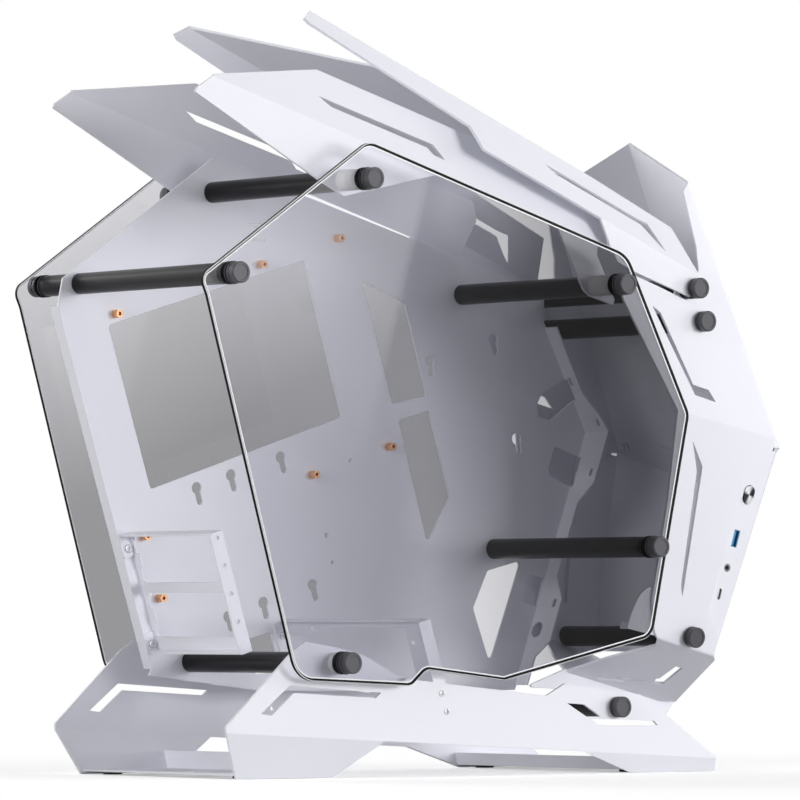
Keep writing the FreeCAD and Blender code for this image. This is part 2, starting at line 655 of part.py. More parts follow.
def make_jaw_screws():
    """Two screws that hold the band of the jaw behind the mask."""
    n = unit(Vector(1, -MASK_SWEEP, MASK_RAKE))
    spot = mask_point(*JAW_SCREW) - n * 2 * PANEL_T
    screw = screw_at(spot, n * -1, 2 * PANEL_T - MASK_SKIN - CLEAR)
    return Part.makeCompound([screw, mirrored(screw)])


# Ports and power button
BUTTON_SPOT = (74.0, 44.6)
USB_A_SPOT = (72.2, 77.9)
AUDIO_SPOT = (71.2, 100.1)
USB_C_SPOT = (70.2, 120.0)
BUTTON_SIZE = (9.0, 13.6)      # across the strip, and along it
BUTTON_PROUD = 1.2
BUTTON_TRAVEL = 0.9
BUTTON_FLANGE = 1.0
BUTTON_STEM_D = 4.0
SWITCH_SIZE = (14.5, 18.5, 11.0)
SWITCH_WALL = 1.0
USB_A_SIZE = (5.7, 13.2, 14.0)
USB_C_SIZE = (3.2, 8.9, 8.0)
AUDIO_D = 6.0
AUDIO_BODY = (7.0, 9.0, 11.0)
SHELL_T = 0.4
PCB_SIZE = (15.0, 66.0, 1.6)
PCB_DEPTH = 13.0               # from the back of the strip to the board


def strip_placement(spot, depth=0.0):
    """Origin at a spot of the strip: x across it, y up along it, z outwards."""
    frame = jaw_frame()
    out = inner_normal(frame) * -1
    up = frame[2] * -1
    origin = at(frame, *spot) + out * -depth
    matrix = FreeCAD.Matrix(frame[1].x, up.x, out.x, origin.x,
                            frame[1].y, up.y, out.y, origin.y,
                            frame[1].z, up.z, out.z, origin.z,
                            0, 0, 0, 1)
    return FreeCAD.Placement(matrix)


def placed(shape, spot, depth=0.0):
    turned = shape.copy()
    turned.Placement = strip_placement(spot, depth)
    return turned


def pill(width, length, height, z=0.0):
    """A flat bar with round ends, its long side along y."""
    radius = width / 2.0
    run = length - width
    box = Part.makeBox(width, run, height, Vector(-radius, -run / 2.0, z))
    ends = [Part.makeCylinder(radius, height, Vector(0, sign * run / 2.0, z)) for sign in (-1, 1)]
    return joined([box] + ends)


def block(width, length, height, z=0.0):
    return Part.makeBox(width, length, height, Vector(-width / 2.0, -length / 2.0, z))


def port_cutters():
    """Openings of the port strip, each a clearance larger than what sits in it."""
    deep = 3 * PANEL_T
    button = pill(BUTTON_SIZE[0] + 2 * CLEAR, BUTTON_SIZE[1] + 2 * CLEAR, deep, -deep / 2.0)
    usb_a = block(USB_A_SIZE[0], USB_A_SIZE[1], deep, -deep / 2.0)
    audio = Part.makeCylinder(AUDIO_D / 2.0, deep, Vector(0, 0, -deep / 2.0))
    usb_c = pill(USB_C_SIZE[0], USB_C_SIZE[1], deep, -deep / 2.0)
    return [placed(button, BUTTON_SPOT), placed(usb_a, USB_A_SPOT), placed(audio, AUDIO_SPOT),
            placed(usb_c, USB_C_SPOT)]


def make_button():
    """Metal cap with a dished face, a flange behind the sheet and a stem to the switch."""
    width, length = BUTTON_SIZE
    cap = pill(width, length, PANEL_T + BUTTON_PROUD + CLEAR, -PANEL_T - CLEAR)
    top = [e for e in cap.Edges if min(v.Point.z for v in e.Vertexes) > BUTTON_PROUD - 0.01]
    cap = cap.makeFillet(0.5, top)
    dish = pill(width - 3.0, length - 3.0, 1.0, BUTTON_PROUD - 0.4)
    flange = pill(width + 2.0, length + 2.0, BUTTON_FLANGE, -PANEL_T - CLEAR - BUTTON_FLANGE)
    stem_top = -PANEL_T - CLEAR - BUTTON_FLANGE
    stem = Part.makeCylinder(BUTTON_STEM_D / 2.0, 3.0, Vector(0, 0, stem_top - 3.0))
    return placed(joined([cap.cut(dish), flange, stem]), BUTTON_SPOT)


def make_switch():
    """Open box behind the strip that guides the button and holds the contact block."""
    width, length, depth = SWITCH_SIZE
    box = block(width, length, depth, -PANEL_T - depth)
    well = pill(width - 2 * SWITCH_WALL, length - 2 * SWITCH_WALL, 5.4, -PANEL_T - 5.4)
    bore = Part.makeCylinder(BUTTON_STEM_D / 2.0 + CLEAR, 3.0, Vector(0, 0, -PANEL_T - 8.0))
    pins = [block(1.0, 0.6, 4.0, -PANEL_T - depth - 4.0) for _ in range(2)]
    pins[0].translate(Vector(0, -3.0, 0))
    pins[1].translate(Vector(0, 3.0, 0))
    return placed(joined([box.cut([well, bore])] + pins), BUTTON_SPOT)


def make_usb_a_shell():
    width, length, depth = USB_A_SIZE
    shell = block(width, length, depth, -depth)
    hollow = block(width - 2 * SHELL_T, length - 2 * SHELL_T, depth, -depth + 1.0)
    return placed(shell.cut(hollow), USB_A_SPOT)


def make_usb_a_insert():
    """Plastic tongue on a back wall, with a collar that fills the mouth as in the photo."""
    width, length, depth = USB_A_SIZE
    inner = (width - 2 * SHELL_T, length - 2 * SHELL_T)
    back = block(inner[0], inner[1], 2.0, -depth + 1.0)
    collar = block(inner[0], inner[1], 10.5, -11.0)
    mouth = block(inner[0] - 0.8, inner[1] - 0.8, 10.6, -11.0)
    tongue = block(1.9, inner[1] - 1.6, 10.0, -depth + 3.0)
    tongue.translate(Vector(-0.8, 0, 0))
    return placed(joined([back, collar.cut(mouth), tongue]), USB_A_SPOT)


def make_audio_jack():
    width, length, depth = AUDIO_BODY
    ring = Part.makeCylinder(AUDIO_D / 2.0, PANEL_T, Vector(0, 0, -PANEL_T))
    body = block(width, length, depth, -PANEL_T - depth)
    bore = Part.makeCylinder(1.8, 10.0, Vector(0, 0, -9.0))
    return placed(ring.fuse(body).removeSplitter().cut(bore), AUDIO_SPOT)


def make_usb_c():
    width, length, depth = USB_C_SIZE
    shell = pill(width, length, depth, -depth)
    hollow = pill(width - 2 * SHELL_T, length - 2 * SHELL_T, depth, -depth + 1.0)
    tongue = block(0.7, 6.6, 6.0, -depth + 1.0)
    foot = block(width, length - 1.0, PANEL_T + PCB_DEPTH - depth, -PANEL_T - PCB_DEPTH)
    return placed(joined([shell.cut(hollow), tongue, foot]), USB_C_SPOT)


def make_port_board():
    """Circuit board behind the jacks, held to the strip by two posts."""
    width, length, thick = PCB_SIZE
    spot = (70.9, 98.0)
    board = block(width, length, thick, -PANEL_T - PCB_DEPTH - thick)
    posts = []
    for y in (-30.0, 30.0):
        post = Part.makeCylinder(2.0, PCB_DEPTH, Vector(0, y, -PANEL_T - PCB_DEPTH))
        posts.append(post)
    header = block(5.0, 18.0, 6.0, -PANEL_T - PCB_DEPTH - thick - 6.0)
    return placed(joined([board, header] + posts), spot)


# Feet
FOOT_FOLD = [(-200.3, 31.8), (233.6, 9.4)]
FOOT_TOP = [(233.6, 10.2), (169.9, 51.9), (163.3, 55.6), (94.5, 64.0), (77.8, 55.5), (-34.6, 66.9),
            (-51.2, 69.0), (-82.4, 84.4), (-108.3, 90.4), (-133.5, 94.2), (-144.1, 87.7),
            (-200.3, 36.1)]
LIP_LEAN = 18.0
REAR_LIP_X = (-200.3, -65.1)
REAR_LIP_GROUND = (-185.0, -104.0)
FRONT_LIP_X = (110.8, 233.6)
FRONT_LIP_GROUND = (157.0, 234.5)
FOOT_SLOTS = [
    [(-147.0, 63.8), (-68.6, 58.5), (-72.9, 54.9), (-142.9, 59.0), (-161.9, 43.6), (-171.2, 44.7)],
    [(96.5, 50.0), (112.0, 49.0), (126.8, 40.3), (113.8, 40.4)],
    [(118.4, 38.6), (143.6, 38.1), (175.6, 36.8), (179.4, 33.6), (145.5, 33.6), (124.1, 34.5)],
]
FOOT_SCREWS = [(-15.4, 57.7), (-11.2, 45.0)]
SCREW_D = 3.4


def foot_fold_z(x):
    (x0, z0), (x1, z1) = FOOT_FOLD
    return z0 + (x - x0) * (z1 - z0) / (x1 - x0)


def foot_frame():
    (x0, z0), (x1, z1) = FOOT_FOLD
    return fold_frame(Vector(x0, -FOOT_H, z0), Vector(x1, -FOOT_H, z1), LIP_LEAN)


def lip_points(span, ground):
    """A lip from the lower fold of a foot to the floor."""
    frame = foot_frame()
    start = Vector(span[0], -FOOT_H, foot_fold_z(span[0]))
    end = Vector(span[1], -FOOT_H, foot_fold_z(span[1]))
    across = frame[2]
    touch_rear = floor_point(ground[0], across)
    touch_front = floor_point(ground[1], across)
    return [start, touch_rear, touch_front, end]


def floor_point(x, across):
    """Where the leaning lip meets the floor, near this x."""
    drop = foot_fold_z(x) / -across.z
    top = Vector(x - across.x * drop, -FOOT_H, foot_fold_z(x - across.x * drop))
    reach = top.z / -across.z
    return top + across * reach


def make_foot():
    """Upright side leaf with two lips that turn in to the floor."""
    outline = [FOOT_FOLD[0], FOOT_FOLD[1]] + FOOT_TOP
    side = leaf(on_wall(FOOT_H, outline), PANEL_T, INWARD)
    rear_lip = lip_points(REAR_LIP_X, REAR_LIP_GROUND)
    front_lip = lip_points(FRONT_LIP_X, FRONT_LIP_GROUND)
    foot = joined([side, leaf(rear_lip, PANEL_T, INWARD), leaf(front_lip, PANEL_T, INWARD)])
    below = Part.makeBox(BEYOND, BEYOND, BEYOND, Vector(-BEYOND / 2.0, -BEYOND / 2.0, -BEYOND))
    cutters = [below]
    for outline in FOOT_SLOTS:
        cutters.append(through(on_wall(FOOT_H, outline)))
    for axis in (TUBE_FOOT_REAR, TUBE_FOOT_FRONT):
        cutters.append(cross_rod(axis, -FOOT_H - 1, -FOOT_H + 4, STUD_D + HOLE_CLEAR))
    for point in FOOT_SCREWS:
        cutters.append(cross_rod(point, -FOOT_H - 1, -FOOT_H + 4, SCREW_D))
    foot = foot.cut(cutters)
    for lip in (rear_lip, front_lip):
        foot = rounded_bend(foot, lip[0], lip[3], lip[1], lip[0] - DOWN)
    return foot


# Floor plates
PAD_T = 2.0
PAD_D = 14.0
REAR_PLATE_X = (-182.0, -108.0)
REAR_PLATE_RISE = 14.0
FRONT_PLATE_X = (155.0, 232.0)
FRONT_PLATE_RISE = 9.0


def inner_lip_y(x, z):
    """Half-width to the inner face of a foot lip at this place."""
    frame = foot_frame()
    n = inner_normal(frame)
    base = frame[0] + n * PANEL_T
    return -(base.y - ((x - base.x) * n.x + (z - base.z) * n.z) / n.y)


def outside_lips():
    """Everything outside the inner faces of the left lips."""
    origin, along, across = foot_frame()
    inner = (origin + inner_normal(foot_frame()) * PANEL_T, along, across)
    sheet = [at(inner, -40, -30), at(inner, 480, -30), at(inner, 480, 60), at(inner, -40, 60)]
    return leaf(sheet, FOOT_H, LEFT)


def floor_plate(span, rise, rise_at):
    """A plate between the two feet, with one edge turned up."""
    width = 2 * FOOT_H
    plate = Part.makeBox(span[1] - span[0], width, TRAY_T, Vector(span[0], -FOOT_H, PAD_T))
    x = span[rise_at]
    if rise_at == 1:
        x = x - TRAY_T
    wall = Part.makeBox(TRAY_T, width, rise, Vector(x, -FOOT_H, PAD_T))
    plate = joined([plate, wall])
    cutters = [outside_lips(), mirrored(outside_lips())]
    for y in (-30.0, 30.0):
        slot = Part.makeBox(30.0, 8.0, 10.0, Vector((span[0] + span[1]) / 2.0 - 15.0, y - 4.0, 0))
        cutters.append(soft_corners(slot, Vector(0, 0, 1), 3.9))
    return plate.cut(cutters)


def make_pads():
    pads = []
    for span in (REAR_PLATE_X, FRONT_PLATE_X):
        half = min(inner_lip_y(span[0], 0), inner_lip_y(span[1], 0)) - PAD_D
        for x in (span[0] + PAD_D, span[1] - PAD_D):
            for sign in (-1, 1):
                pad = Part.makeCylinder(PAD_D / 2.0, PAD_T, Vector(x, sign * half, 0))
                bottom = [e for e in pad.Edges if abs(e.BoundBox.ZMax) < 0.01]
                pads.append(pad.makeChamfer(0.6, bottom))
    return Part.makeCompound(pads)


# Expansion slot bracket
SLOT_DEPTH = 113.0             # from the tray to the card screws
SLOT_PITCH = 20.32
SLOT_COUNT = 4
SLOT_TOP = (-164.0, 166.0)     # x and z of the highest card screw
SLOT_STRIP_W = 11.0
SLOT_ABOVE = 4.0               # from the upper end to the highest card screw
SLOT_BELOW = 23.0              # from the lowest card screw to the lower end
SLOT_LENGTH = SLOT_ABOVE + SLOT_PITCH * (SLOT_COUNT - 1) + SLOT_BELOW
SLOT_CORNER_R = 2.5
SLOT_TABS = [(0.0, 17.0), (SLOT_LENGTH - 15.5, SLOT_LENGTH)]
SLOT_TAB_HOLES = [10.7, SLOT_LENGTH - 6.5]
SLOT_WINDOWS = [(3.5, 37.6), (44.9, 77.6)]
SLOT_MARGIN_NEAR = 5.5         # from the strip side to a window
SLOT_MARGIN_TRAY = 7.0         # from the tray to a window
SLOT_NOTCH = (10.0, 2.5)       # in the tray edge of a window, one for each card
SLOT_NOTCH_BELOW = 7.0         # from a card screw to the middle of its notch
CARD_SCREW_D = 3.2


def slot_frame():
    """The rear upper corner, along the row of card screws, and towards the front."""
    down = Vector(sin(radians(BOARD_TILT)), 0, -cos(radians(BOARD_TILT)))
    front = Vector(cos(radians(BOARD_TILT)), 0, sin(radians(BOARD_TILT)))
    first = Vector(SLOT_TOP[0], TRAY_Y, SLOT_TOP[1])
    return first - down * SLOT_ABOVE - front * (SLOT_STRIP_W / 2.0), down, front


def slot_spot(s, f=SLOT_STRIP_W / 2.0):
    """x and z of a place s below the upper end and f forward of the rear edge."""
    corner, down, front = slot_frame()
    spot = corner + down * s + front * f
    return spot.x, spot.z


def slot_box(s_span, y_span, f_span):
    flat = []
    for s, f in ((s_span[0], f_span[0]), (s_span[1], f_span[0]),
                 (s_span[1], f_span[1]), (s_span[0], f_span[1])):
        x, z = slot_spot(s, f)
        flat.append(Vector(x, y_span[0], z))
    return face_of(flat).extrude(Vector(0, y_span[1] - y_span[0], 0))


def card_screw_s(k):
    return SLOT_ABOVE + k * SLOT_PITCH


def make_slot_bracket():
    """Wall with two double windows, a strip for the card screws and two tabs on the tray."""
    y_near = TRAY_Y - SLOT_DEPTH
    whole = (0, SLOT_LENGTH)
    wall_f = (SLOT_STRIP_W - TRAY_T, SLOT_STRIP_W)
    end_f = (SLOT_CORNER_R, SLOT_STRIP_W)
    strip = slot_box(whole, (y_near, y_near + TRAY_T), (0, SLOT_STRIP_W))
    leaves = [slot_box(whole, (y_near, TRAY_Y), wall_f),
              slot_box((0, TRAY_T), (y_near, TRAY_Y), end_f),
              slot_box((SLOT_LENGTH - TRAY_T, SLOT_LENGTH), (y_near, TRAY_Y), end_f),
              soft_corners(strip, INWARD, SLOT_CORNER_R)]
    for span in SLOT_TABS:
        tab = slot_box(span, (TRAY_Y - TRAY_T, TRAY_Y), (0, SLOT_STRIP_W))
        leaves.append(soft_corners(tab, INWARD, SLOT_CORNER_R))
    window_y = (y_near + SLOT_MARGIN_NEAR, TRAY_Y - SLOT_MARGIN_TRAY)
    notch_y = (window_y[1] - 1.0, window_y[1] + SLOT_NOTCH[1])
    cut_f = (wall_f[0] - 2, wall_f[1] + 2)
    cutters = [slot_box(span, window_y, cut_f) for span in SLOT_WINDOWS]
    for k in range(SLOT_COUNT):
        screw = card_screw_s(k)
        middle = screw + SLOT_NOTCH_BELOW
        span = (middle - SLOT_NOTCH[0] / 2.0, middle + SLOT_NOTCH[0] / 2.0)
        cutters.append(slot_box(span, notch_y, cut_f))
        cutters.append(cross_rod(slot_spot(screw), y_near - 2, y_near + 4, CARD_SCREW_D))
    for s in SLOT_TAB_HOLES:
        cutters.append(cross_rod(slot_spot(s), TRAY_Y - 5, TRAY_Y + 1, SCREW_D))
    return joined(leaves).cut(cutters)


# Power supply frame
PSU_TOP = (-24.3, 109.9)       # x and z of its upper front edge
PSU_HEIGHT = 72.0
PSU_LEG_Y = -73.0              # inner edge of the leg that stands at the foot
PSU_BAR = 6.0                  # height of the bar over the opening
PSU_BRACE = [(11.8, TRAY_Y), (11.8, 33.0), (PSU_BAR, 27.0)]   # its deeper end, as s and y
PSU_TOP_LIP = 4.0
PSU_FLANGE_W = 10.4            # on the foot
PSU_TAB = (28.0, 11.5)         # on the tray: down, and towards the rear
PSU_TAB_SCREW = (10.7, -5.5)
PSU_HOLES = [(6.7, 36.4), (17.1, -78.8)]      # screws of the power supply, as s and y
PSU_HOLE_D = 4.2


def psu_frame():
    down = Vector(sin(radians(BOARD_TILT)), 0, -cos(radians(BOARD_TILT)))
    front = Vector(cos(radians(BOARD_TILT)), 0, sin(radians(BOARD_TILT)))
    return Vector(PSU_TOP[0], 0, PSU_TOP[1]), down, front


def psu_point(s, y, f=0.0):
    """s down from the upper edge, y across the case, f forward of the front face."""
    origin, down, front = psu_frame()
    spot = origin + down * s + front * f
    return Vector(spot.x, y, spot.z)


def psu_box(s0, s1, y0, y1, f0, f1):
    flat = [psu_point(s0, y0, f0), psu_point(s1, y0, f0), psu_point(s1, y0, f1), psu_point(s0, y0, f1)]
    return face_of(flat).extrude(Vector(0, y1 - y0, 0))


def make_psu_frame():
    """A leg on the left foot and a bar from it to the tray, both with edges turned back."""
    y_foot = -FOOT_H + PANEL_T
    outline = [(0, y_foot), (0, TRAY_Y)] + PSU_BRACE
    outline += [(PSU_BAR, PSU_LEG_Y), (PSU_HEIGHT, PSU_LEG_Y), (PSU_HEIGHT, y_foot)]
    web = leaf([psu_point(s, y) for s, y in outline], TRAY_T, Vector(-1, 0, 0))
    top = psu_box(0, TRAY_T, y_foot, TRAY_Y, -PSU_TOP_LIP, 0)
    foot_side = psu_box(0, PSU_HEIGHT, y_foot, y_foot + TRAY_T, -PSU_FLANGE_W, 0)
    tray_side = psu_box(0, PSU_TAB[0], TRAY_Y - TRAY_T, TRAY_Y, -PSU_TAB[1], 0)
    frame = joined([web, top, foot_side, tray_side])
    cutters = []
    for s, y in PSU_HOLES:
        cutters.append(rod(psu_point(s, y, -4), psu_frame()[2], 8, PSU_HOLE_D))
    for point in FOOT_SCREWS:
        cutters.append(cross_rod(point, y_foot - 1, y_foot + 3, SCREW_D))
    cutters.append(cross_rod(psu_tab_screw(), TRAY_Y - 4, TRAY_Y + 1, SCREW_D))
    return frame.cut(cutters)


def psu_tab_screw():
    spot = psu_point(PSU_TAB_SCREW[0], TRAY_Y, PSU_TAB_SCREW[1])
    return spot.x, spot.z


def tab_screw_points():
    """x and z of the screws through the tray that hold the slot bracket and the power frame."""
    return [slot_spot(s) for s in SLOT_TAB_HOLES] + [psu_tab_screw()]


# Tubes, knobs and spacers
def stud_bore(axis, y_end, sign):
    """Bore in the end of a tube; sign points from the end into the tube."""
    if sign > 0:
        return cross_rod(axis, y_end, y_end + STUD_BORE, STUD_D)
    return cross_rod(axis, y_end - STUD_BORE, y_end, STUD_D)


def tube(axis, y_from, y_to, diameter):
    """A solid bar with a bore and a small chamfer at each end."""
    bar = cross_rod(axis, y_from, y_to, diameter)
    rims = [e for e in bar.Edges if e.Curve.TypeId == "Part::GeomCircle"]
    bar = bar.makeChamfer(0.6, rims)
    return bar.cut([stud_bore(axis, y_from, 1), stud_bore(axis, y_to, -1)])


# half-width at which each tube of the left side ends against a sheet or the glass
GLASS_FACE = GLASS_IN - WASHER_T
NEAR_ENDS = [GLASS_FACE, WING_H - PANEL_T, WING_H - PANEL_T, GLASS_FACE, FOOT_H - PANEL_T]


def make_glass_tubes():
    """From the tray to the left side."""
    return Part.makeCompound([tube(axis, -end, TRAY_Y, TUBE_D)
                              for axis, end in zip(GLASS_TUBES, NEAR_ENDS)])


def make_short_tubes():
    """From the back of the tray to the right side."""
    pieces = []
    for axis, end in zip(GLASS_TUBES, NEAR_ENDS):
        y_from = TRAY_Y + TRAY_T
        bar = cross_rod(axis, y_from, end, TUBE_D)
        if end - y_from > 2 * STUD_BORE:
            bar = tube(axis, y_from, end, TUBE_D)
        else:
            bar = bar.cut(cross_rod(axis, y_from, end, STUD_D))
        pieces.append(bar)
    return Part.makeCompound(pieces)


def make_body_tubes():
    """Across the cheeks, the upper wing flanges and the feet."""
    upper = tube(TUBE_CHEEK_UP, -CHEEK_H + PANEL_T, CHEEK_H - PANEL_T, TUBE_D)
    crown = tube(TUBE_CROWN, -CHEEK_H + PANEL_T, CHEEK_H - PANEL_T, TUBE_D)
    foot = tube(TUBE_FOOT_FRONT, -FOOT_H + PANEL_T, FOOT_H - PANEL_T, TUBE_D)
    knob = at(cheek_frame(), *CHEEK_KNOB)
    axis = (knob.x, knob.z)
    n = inner_normal(cheek_frame())
    low = cross_rod(axis, knob.y - 4, -knob.y + 4, TUBE_D)
    outside = Part.makeBox(60, 60, 60, Vector(-30, -30, -60))
    seat = knob + n * 2 * PANEL_T
    outside.Placement = FreeCAD.Placement(seat, FreeCAD.Rotation(Vector(0, 0, 1), n))
    low = low.cut([outside, mirrored(outside)])
    bore = rod(knob, n, STUD_BORE + 2 * PANEL_T, STUD_D)
    low = low.cut([bore, mirrored(bore)])
    return Part.makeCompound([upper, crown, foot, low])


def knob_shape(length, stud_length):
    """Thumbscrew along z: knurled head, domed rim, dished face and a stud."""
    head = Part.makeCylinder(KNOB_D / 2.0, length)
    rims = [e for e in head.Edges if e.Curve.TypeId == "Part::GeomCircle"]
    head = head.makeChamfer(0.8, rims)
    groove = Part.makeCylinder(KNOB_D / 2.0 + 1, 1.0, Vector(0, 0, length * 0.34))
    groove = groove.cut(Part.makeCylinder(KNOB_D / 2.0 - 0.5, 1.0, Vector(0, 0, length * 0.34)))
    dish = Part.makeCylinder(KNOB_D / 2.0 - 2.2, 0.5, Vector(0, 0, length - 0.5))
    stud = Part.makeCylinder(STUD_D / 2.0, stud_length, Vector(0, 0, -stud_length))
    return joined([head.cut([groove, dish]), stud])


def knob_at(spot, outward, length, stud_length):
    knob = knob_shape(length, stud_length)
    knob.Placement = FreeCAD.Placement(spot, FreeCAD.Rotation(Vector(0, 0, 1), outward))
    return knob


def make_glass_knobs():
    face = GLASS_IN + GLASS_T + WASHER_T
    pieces = []
    for axis, end in zip(GLASS_TUBES, NEAR_ENDS):
        reach = face - end + STUD_BORE * 0.7
        knob = knob_at(Vector(axis[0], -face, axis[1]), LEFT, GLASS_KNOB_L, reach)
        pieces.append(knob)
        far = mirrored(knob)
        pieces.append(far)
    return Part.makeCompound(pieces)


def make_panel_knobs():
    pieces = []
    stud = PANEL_T + STUD_BORE * 0.7
    for axis, half in ((TUBE_CHEEK_UP, CHEEK_H), (TUBE_CROWN, CHEEK_H), (TUBE_FOOT_FRONT, FOOT_H)):
        knob = knob_at(Vector(axis[0], -half, axis[1]), LEFT, PANEL_KNOB_L, stud)
        pieces.append(knob)
        pieces.append(mirrored(knob))
    spot = at(cheek_frame(), *CHEEK_KNOB)
    low = knob_at(spot, inner_normal(cheek_frame()) * -1, PANEL_KNOB_L, stud + PANEL_T)
    pieces.append(low)
    pieces.append(mirrored(low))
    return Part.makeCompound(pieces)


def ring_at(axis, y_from, y_to, outer, inner):
    return cross_rod(axis, y_from, y_to, outer).cut(cross_rod(axis, y_from, y_to, inner))


def make_washers():
    """Rubber rings on both faces of each pane at every stud."""
    pieces = []
    for axis in GLASS_TUBES:
        for outer_face in (GLASS_IN + GLASS_T + WASHER_T, GLASS_IN):
            ring = ring_at(axis, -outer_face, -outer_face + WASHER_T, WASHER_D, STUD_D)
            pieces.append(ring)
            pieces.append(mirrored(ring))
    return Part.makeCompound(pieces)


def make_spacers():
    """Bright sleeves between the sheets and the glass, where a tube ends at a sheet."""
    pieces = []
    for axis, half in ((TUBE_WING_REAR, WING_H), (TUBE_WING_FRONT, WING_H), (TUBE_FOOT_REAR, FOOT_H)):
        sleeve = ring_at(axis, -GLASS_FACE, -half, TUBE_D, STUD_D)
        pieces.append(sleeve)
        pieces.append(mirrored(sleeve))
    return Part.makeCompound(pieces)


def screw_at(spot, outward, reach, head_d=6.0, head_h=1.8):
    """Low round head with a cross recess, and a shank."""
    head = Part.makeCylinder(head_d / 2.0, head_h)
    rim = [e for e in head.Edges if abs(e.BoundBox.ZMin - head_h) < 0.01]
    head = head.makeFillet(0.6, rim)
    cross = joined([Part.makeBox(3.2, 0.9, 1.0, Vector(-1.6, -0.45, head_h - 0.9)),
                    Part.makeBox(0.9, 3.2, 1.0, Vector(-0.45, -1.6, head_h - 0.9))])
    shank = Part.makeCylinder((SCREW_D - HOLE_CLEAR) / 2.0, reach, Vector(0, 0, -reach))
    screw = joined([head.cut(cross), shank])
    screw.Placement = FreeCAD.Placement(spot, FreeCAD.Rotation(Vector(0, 0, 1), outward))
    return screw


def make_bracket_screws():
    pieces = []
    for x, z in tab_screw_points():
        pieces.append(screw_at(Vector(x, TRAY_Y - TRAY_T, z), LEFT, 2 * TRAY_T + 1.0))
    for x, z in FOOT_SCREWS:
        pieces.append(screw_at(Vector(x, -FOOT_H, z), LEFT, PANEL_T + TRAY_T + 1.0, 4.6, 1.0))
    return Part.makeCompound(pieces)


# Export
def build_all():
    left_foot = make_foot()
    cheek = make_cheek()
    wing = make_lower_wing()
    glass = make_glass()
    far_foot = mirrored(left_foot)
    return {
        "motherboard_tray": make_tray(),
        "board_standoffs": make_standoffs(),
        "glass_left": glass,
        "glass_right": mirrored(glass),
        "upper_wing": make_upper_wing(),
        "lower_wing_left": wing,
        "lower_wing_right": mirrored(wing),
        "front_mask": make_mask(),
        "cheek_left": cheek,
        "cheek_right": mirrored(cheek),
        "front_jaw": make_jaw(),
        "chin_rib": make_rib(),
        "jaw_screws": make_jaw_screws(),
        "power_button": make_button(),
        "button_switch": make_switch(),
        "usb_a_shell": make_usb_a_shell(),
        "usb_a_insert": make_usb_a_insert(),
        "audio_jack": make_audio_jack(),
        "usb_c_port": make_usb_c(),
        "port_board": make_port_board(),
        "foot_left": left_foot,
        "foot_right": far_foot,
        "floor_plate_rear": floor_plate(REAR_PLATE_X, REAR_PLATE_RISE, 1),
        "floor_plate_front": floor_plate(FRONT_PLATE_X, FRONT_PLATE_RISE, 0),
        "floor_pads": make_pads(),
        "slot_bracket": make_slot_bracket(),
        "psu_frame": make_psu_frame(),
        "glass_tubes": make_glass_tubes(),
        "short_tubes": make_short_tubes(),
        "body_tubes": make_body_tubes(),
        "glass_knobs": make_glass_knobs(),
        "panel_knobs": make_panel_knobs(),
        "glass_washers": make_washers(),
        "glass_spacers": make_spacers(),
        "bracket_screws": make_bracket_screws(),
    }


parts = build_all()
middle_x = Part.makeCompound(list(parts.values())).BoundBox.Center.x
for name, shape in parts.items():
    shape.translate(Vector(-middle_x, 0, 0))
    box = shape.BoundBox
    print("%-20s solids %2d valid %s  x %7.1f %7.1f  y %7.1f %7.1f  z %7.1f %7.1f" % (
        name, len(shape.Solids), shape.isValid(), box.XMin, box.XMax, box.YMin, box.YMax,
        box.ZMin, box.ZMax))
    shape.exportStep("parts/" + name + ".step")
print("moved along x by", round(-middle_x, 3))
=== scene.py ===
# %% [markdown]
# # An open-frame computer case in folded white sheet and smoked glass
#
# The case is packed as a fixed frame of metal sheets, glass panes, cross tubes and small hardware.
# Every sheet keeps the shape that the frame gives it, and this script gives it its finish. The
# small parts that repeat, such as threads, contacts and pins, are grown here with Geometry Nodes.

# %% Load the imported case
import math

import bpy
import numpy as np
from mathutils import Euler, Matrix, Vector


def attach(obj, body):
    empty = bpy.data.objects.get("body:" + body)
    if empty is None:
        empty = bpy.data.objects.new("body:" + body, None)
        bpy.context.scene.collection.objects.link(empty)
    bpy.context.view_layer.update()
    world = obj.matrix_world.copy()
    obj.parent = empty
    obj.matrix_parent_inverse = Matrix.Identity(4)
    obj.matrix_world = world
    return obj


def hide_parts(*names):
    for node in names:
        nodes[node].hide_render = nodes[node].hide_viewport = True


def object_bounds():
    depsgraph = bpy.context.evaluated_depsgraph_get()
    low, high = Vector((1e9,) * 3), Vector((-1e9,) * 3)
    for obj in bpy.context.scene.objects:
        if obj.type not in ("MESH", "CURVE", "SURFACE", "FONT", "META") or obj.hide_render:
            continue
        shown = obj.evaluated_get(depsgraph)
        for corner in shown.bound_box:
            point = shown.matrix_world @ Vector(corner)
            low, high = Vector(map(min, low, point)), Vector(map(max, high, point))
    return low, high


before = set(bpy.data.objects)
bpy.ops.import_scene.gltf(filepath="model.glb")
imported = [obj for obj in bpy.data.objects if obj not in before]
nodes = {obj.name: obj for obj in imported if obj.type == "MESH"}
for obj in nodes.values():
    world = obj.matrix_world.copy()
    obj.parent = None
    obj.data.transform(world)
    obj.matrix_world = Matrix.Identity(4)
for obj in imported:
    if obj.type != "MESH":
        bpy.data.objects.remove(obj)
cad_low, cad_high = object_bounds()
scene = bpy.context.scene
MM = 0.001


def rounded(spot, digits=3):
    return tuple(round(value, digits) for value in spot)


print("case of", len(nodes), "nodes, low", rounded(cad_low), "high", rounded(cad_high))

# %% [markdown]
# ## Camera
#
# The photograph was taken from far away with a long lens, a little below the middle of the case.
# The camera stands where that view was measured: it is turned 37 degrees from the side of the case
# and tipped up by just under 2 degrees. It has no shift and no depth of field.

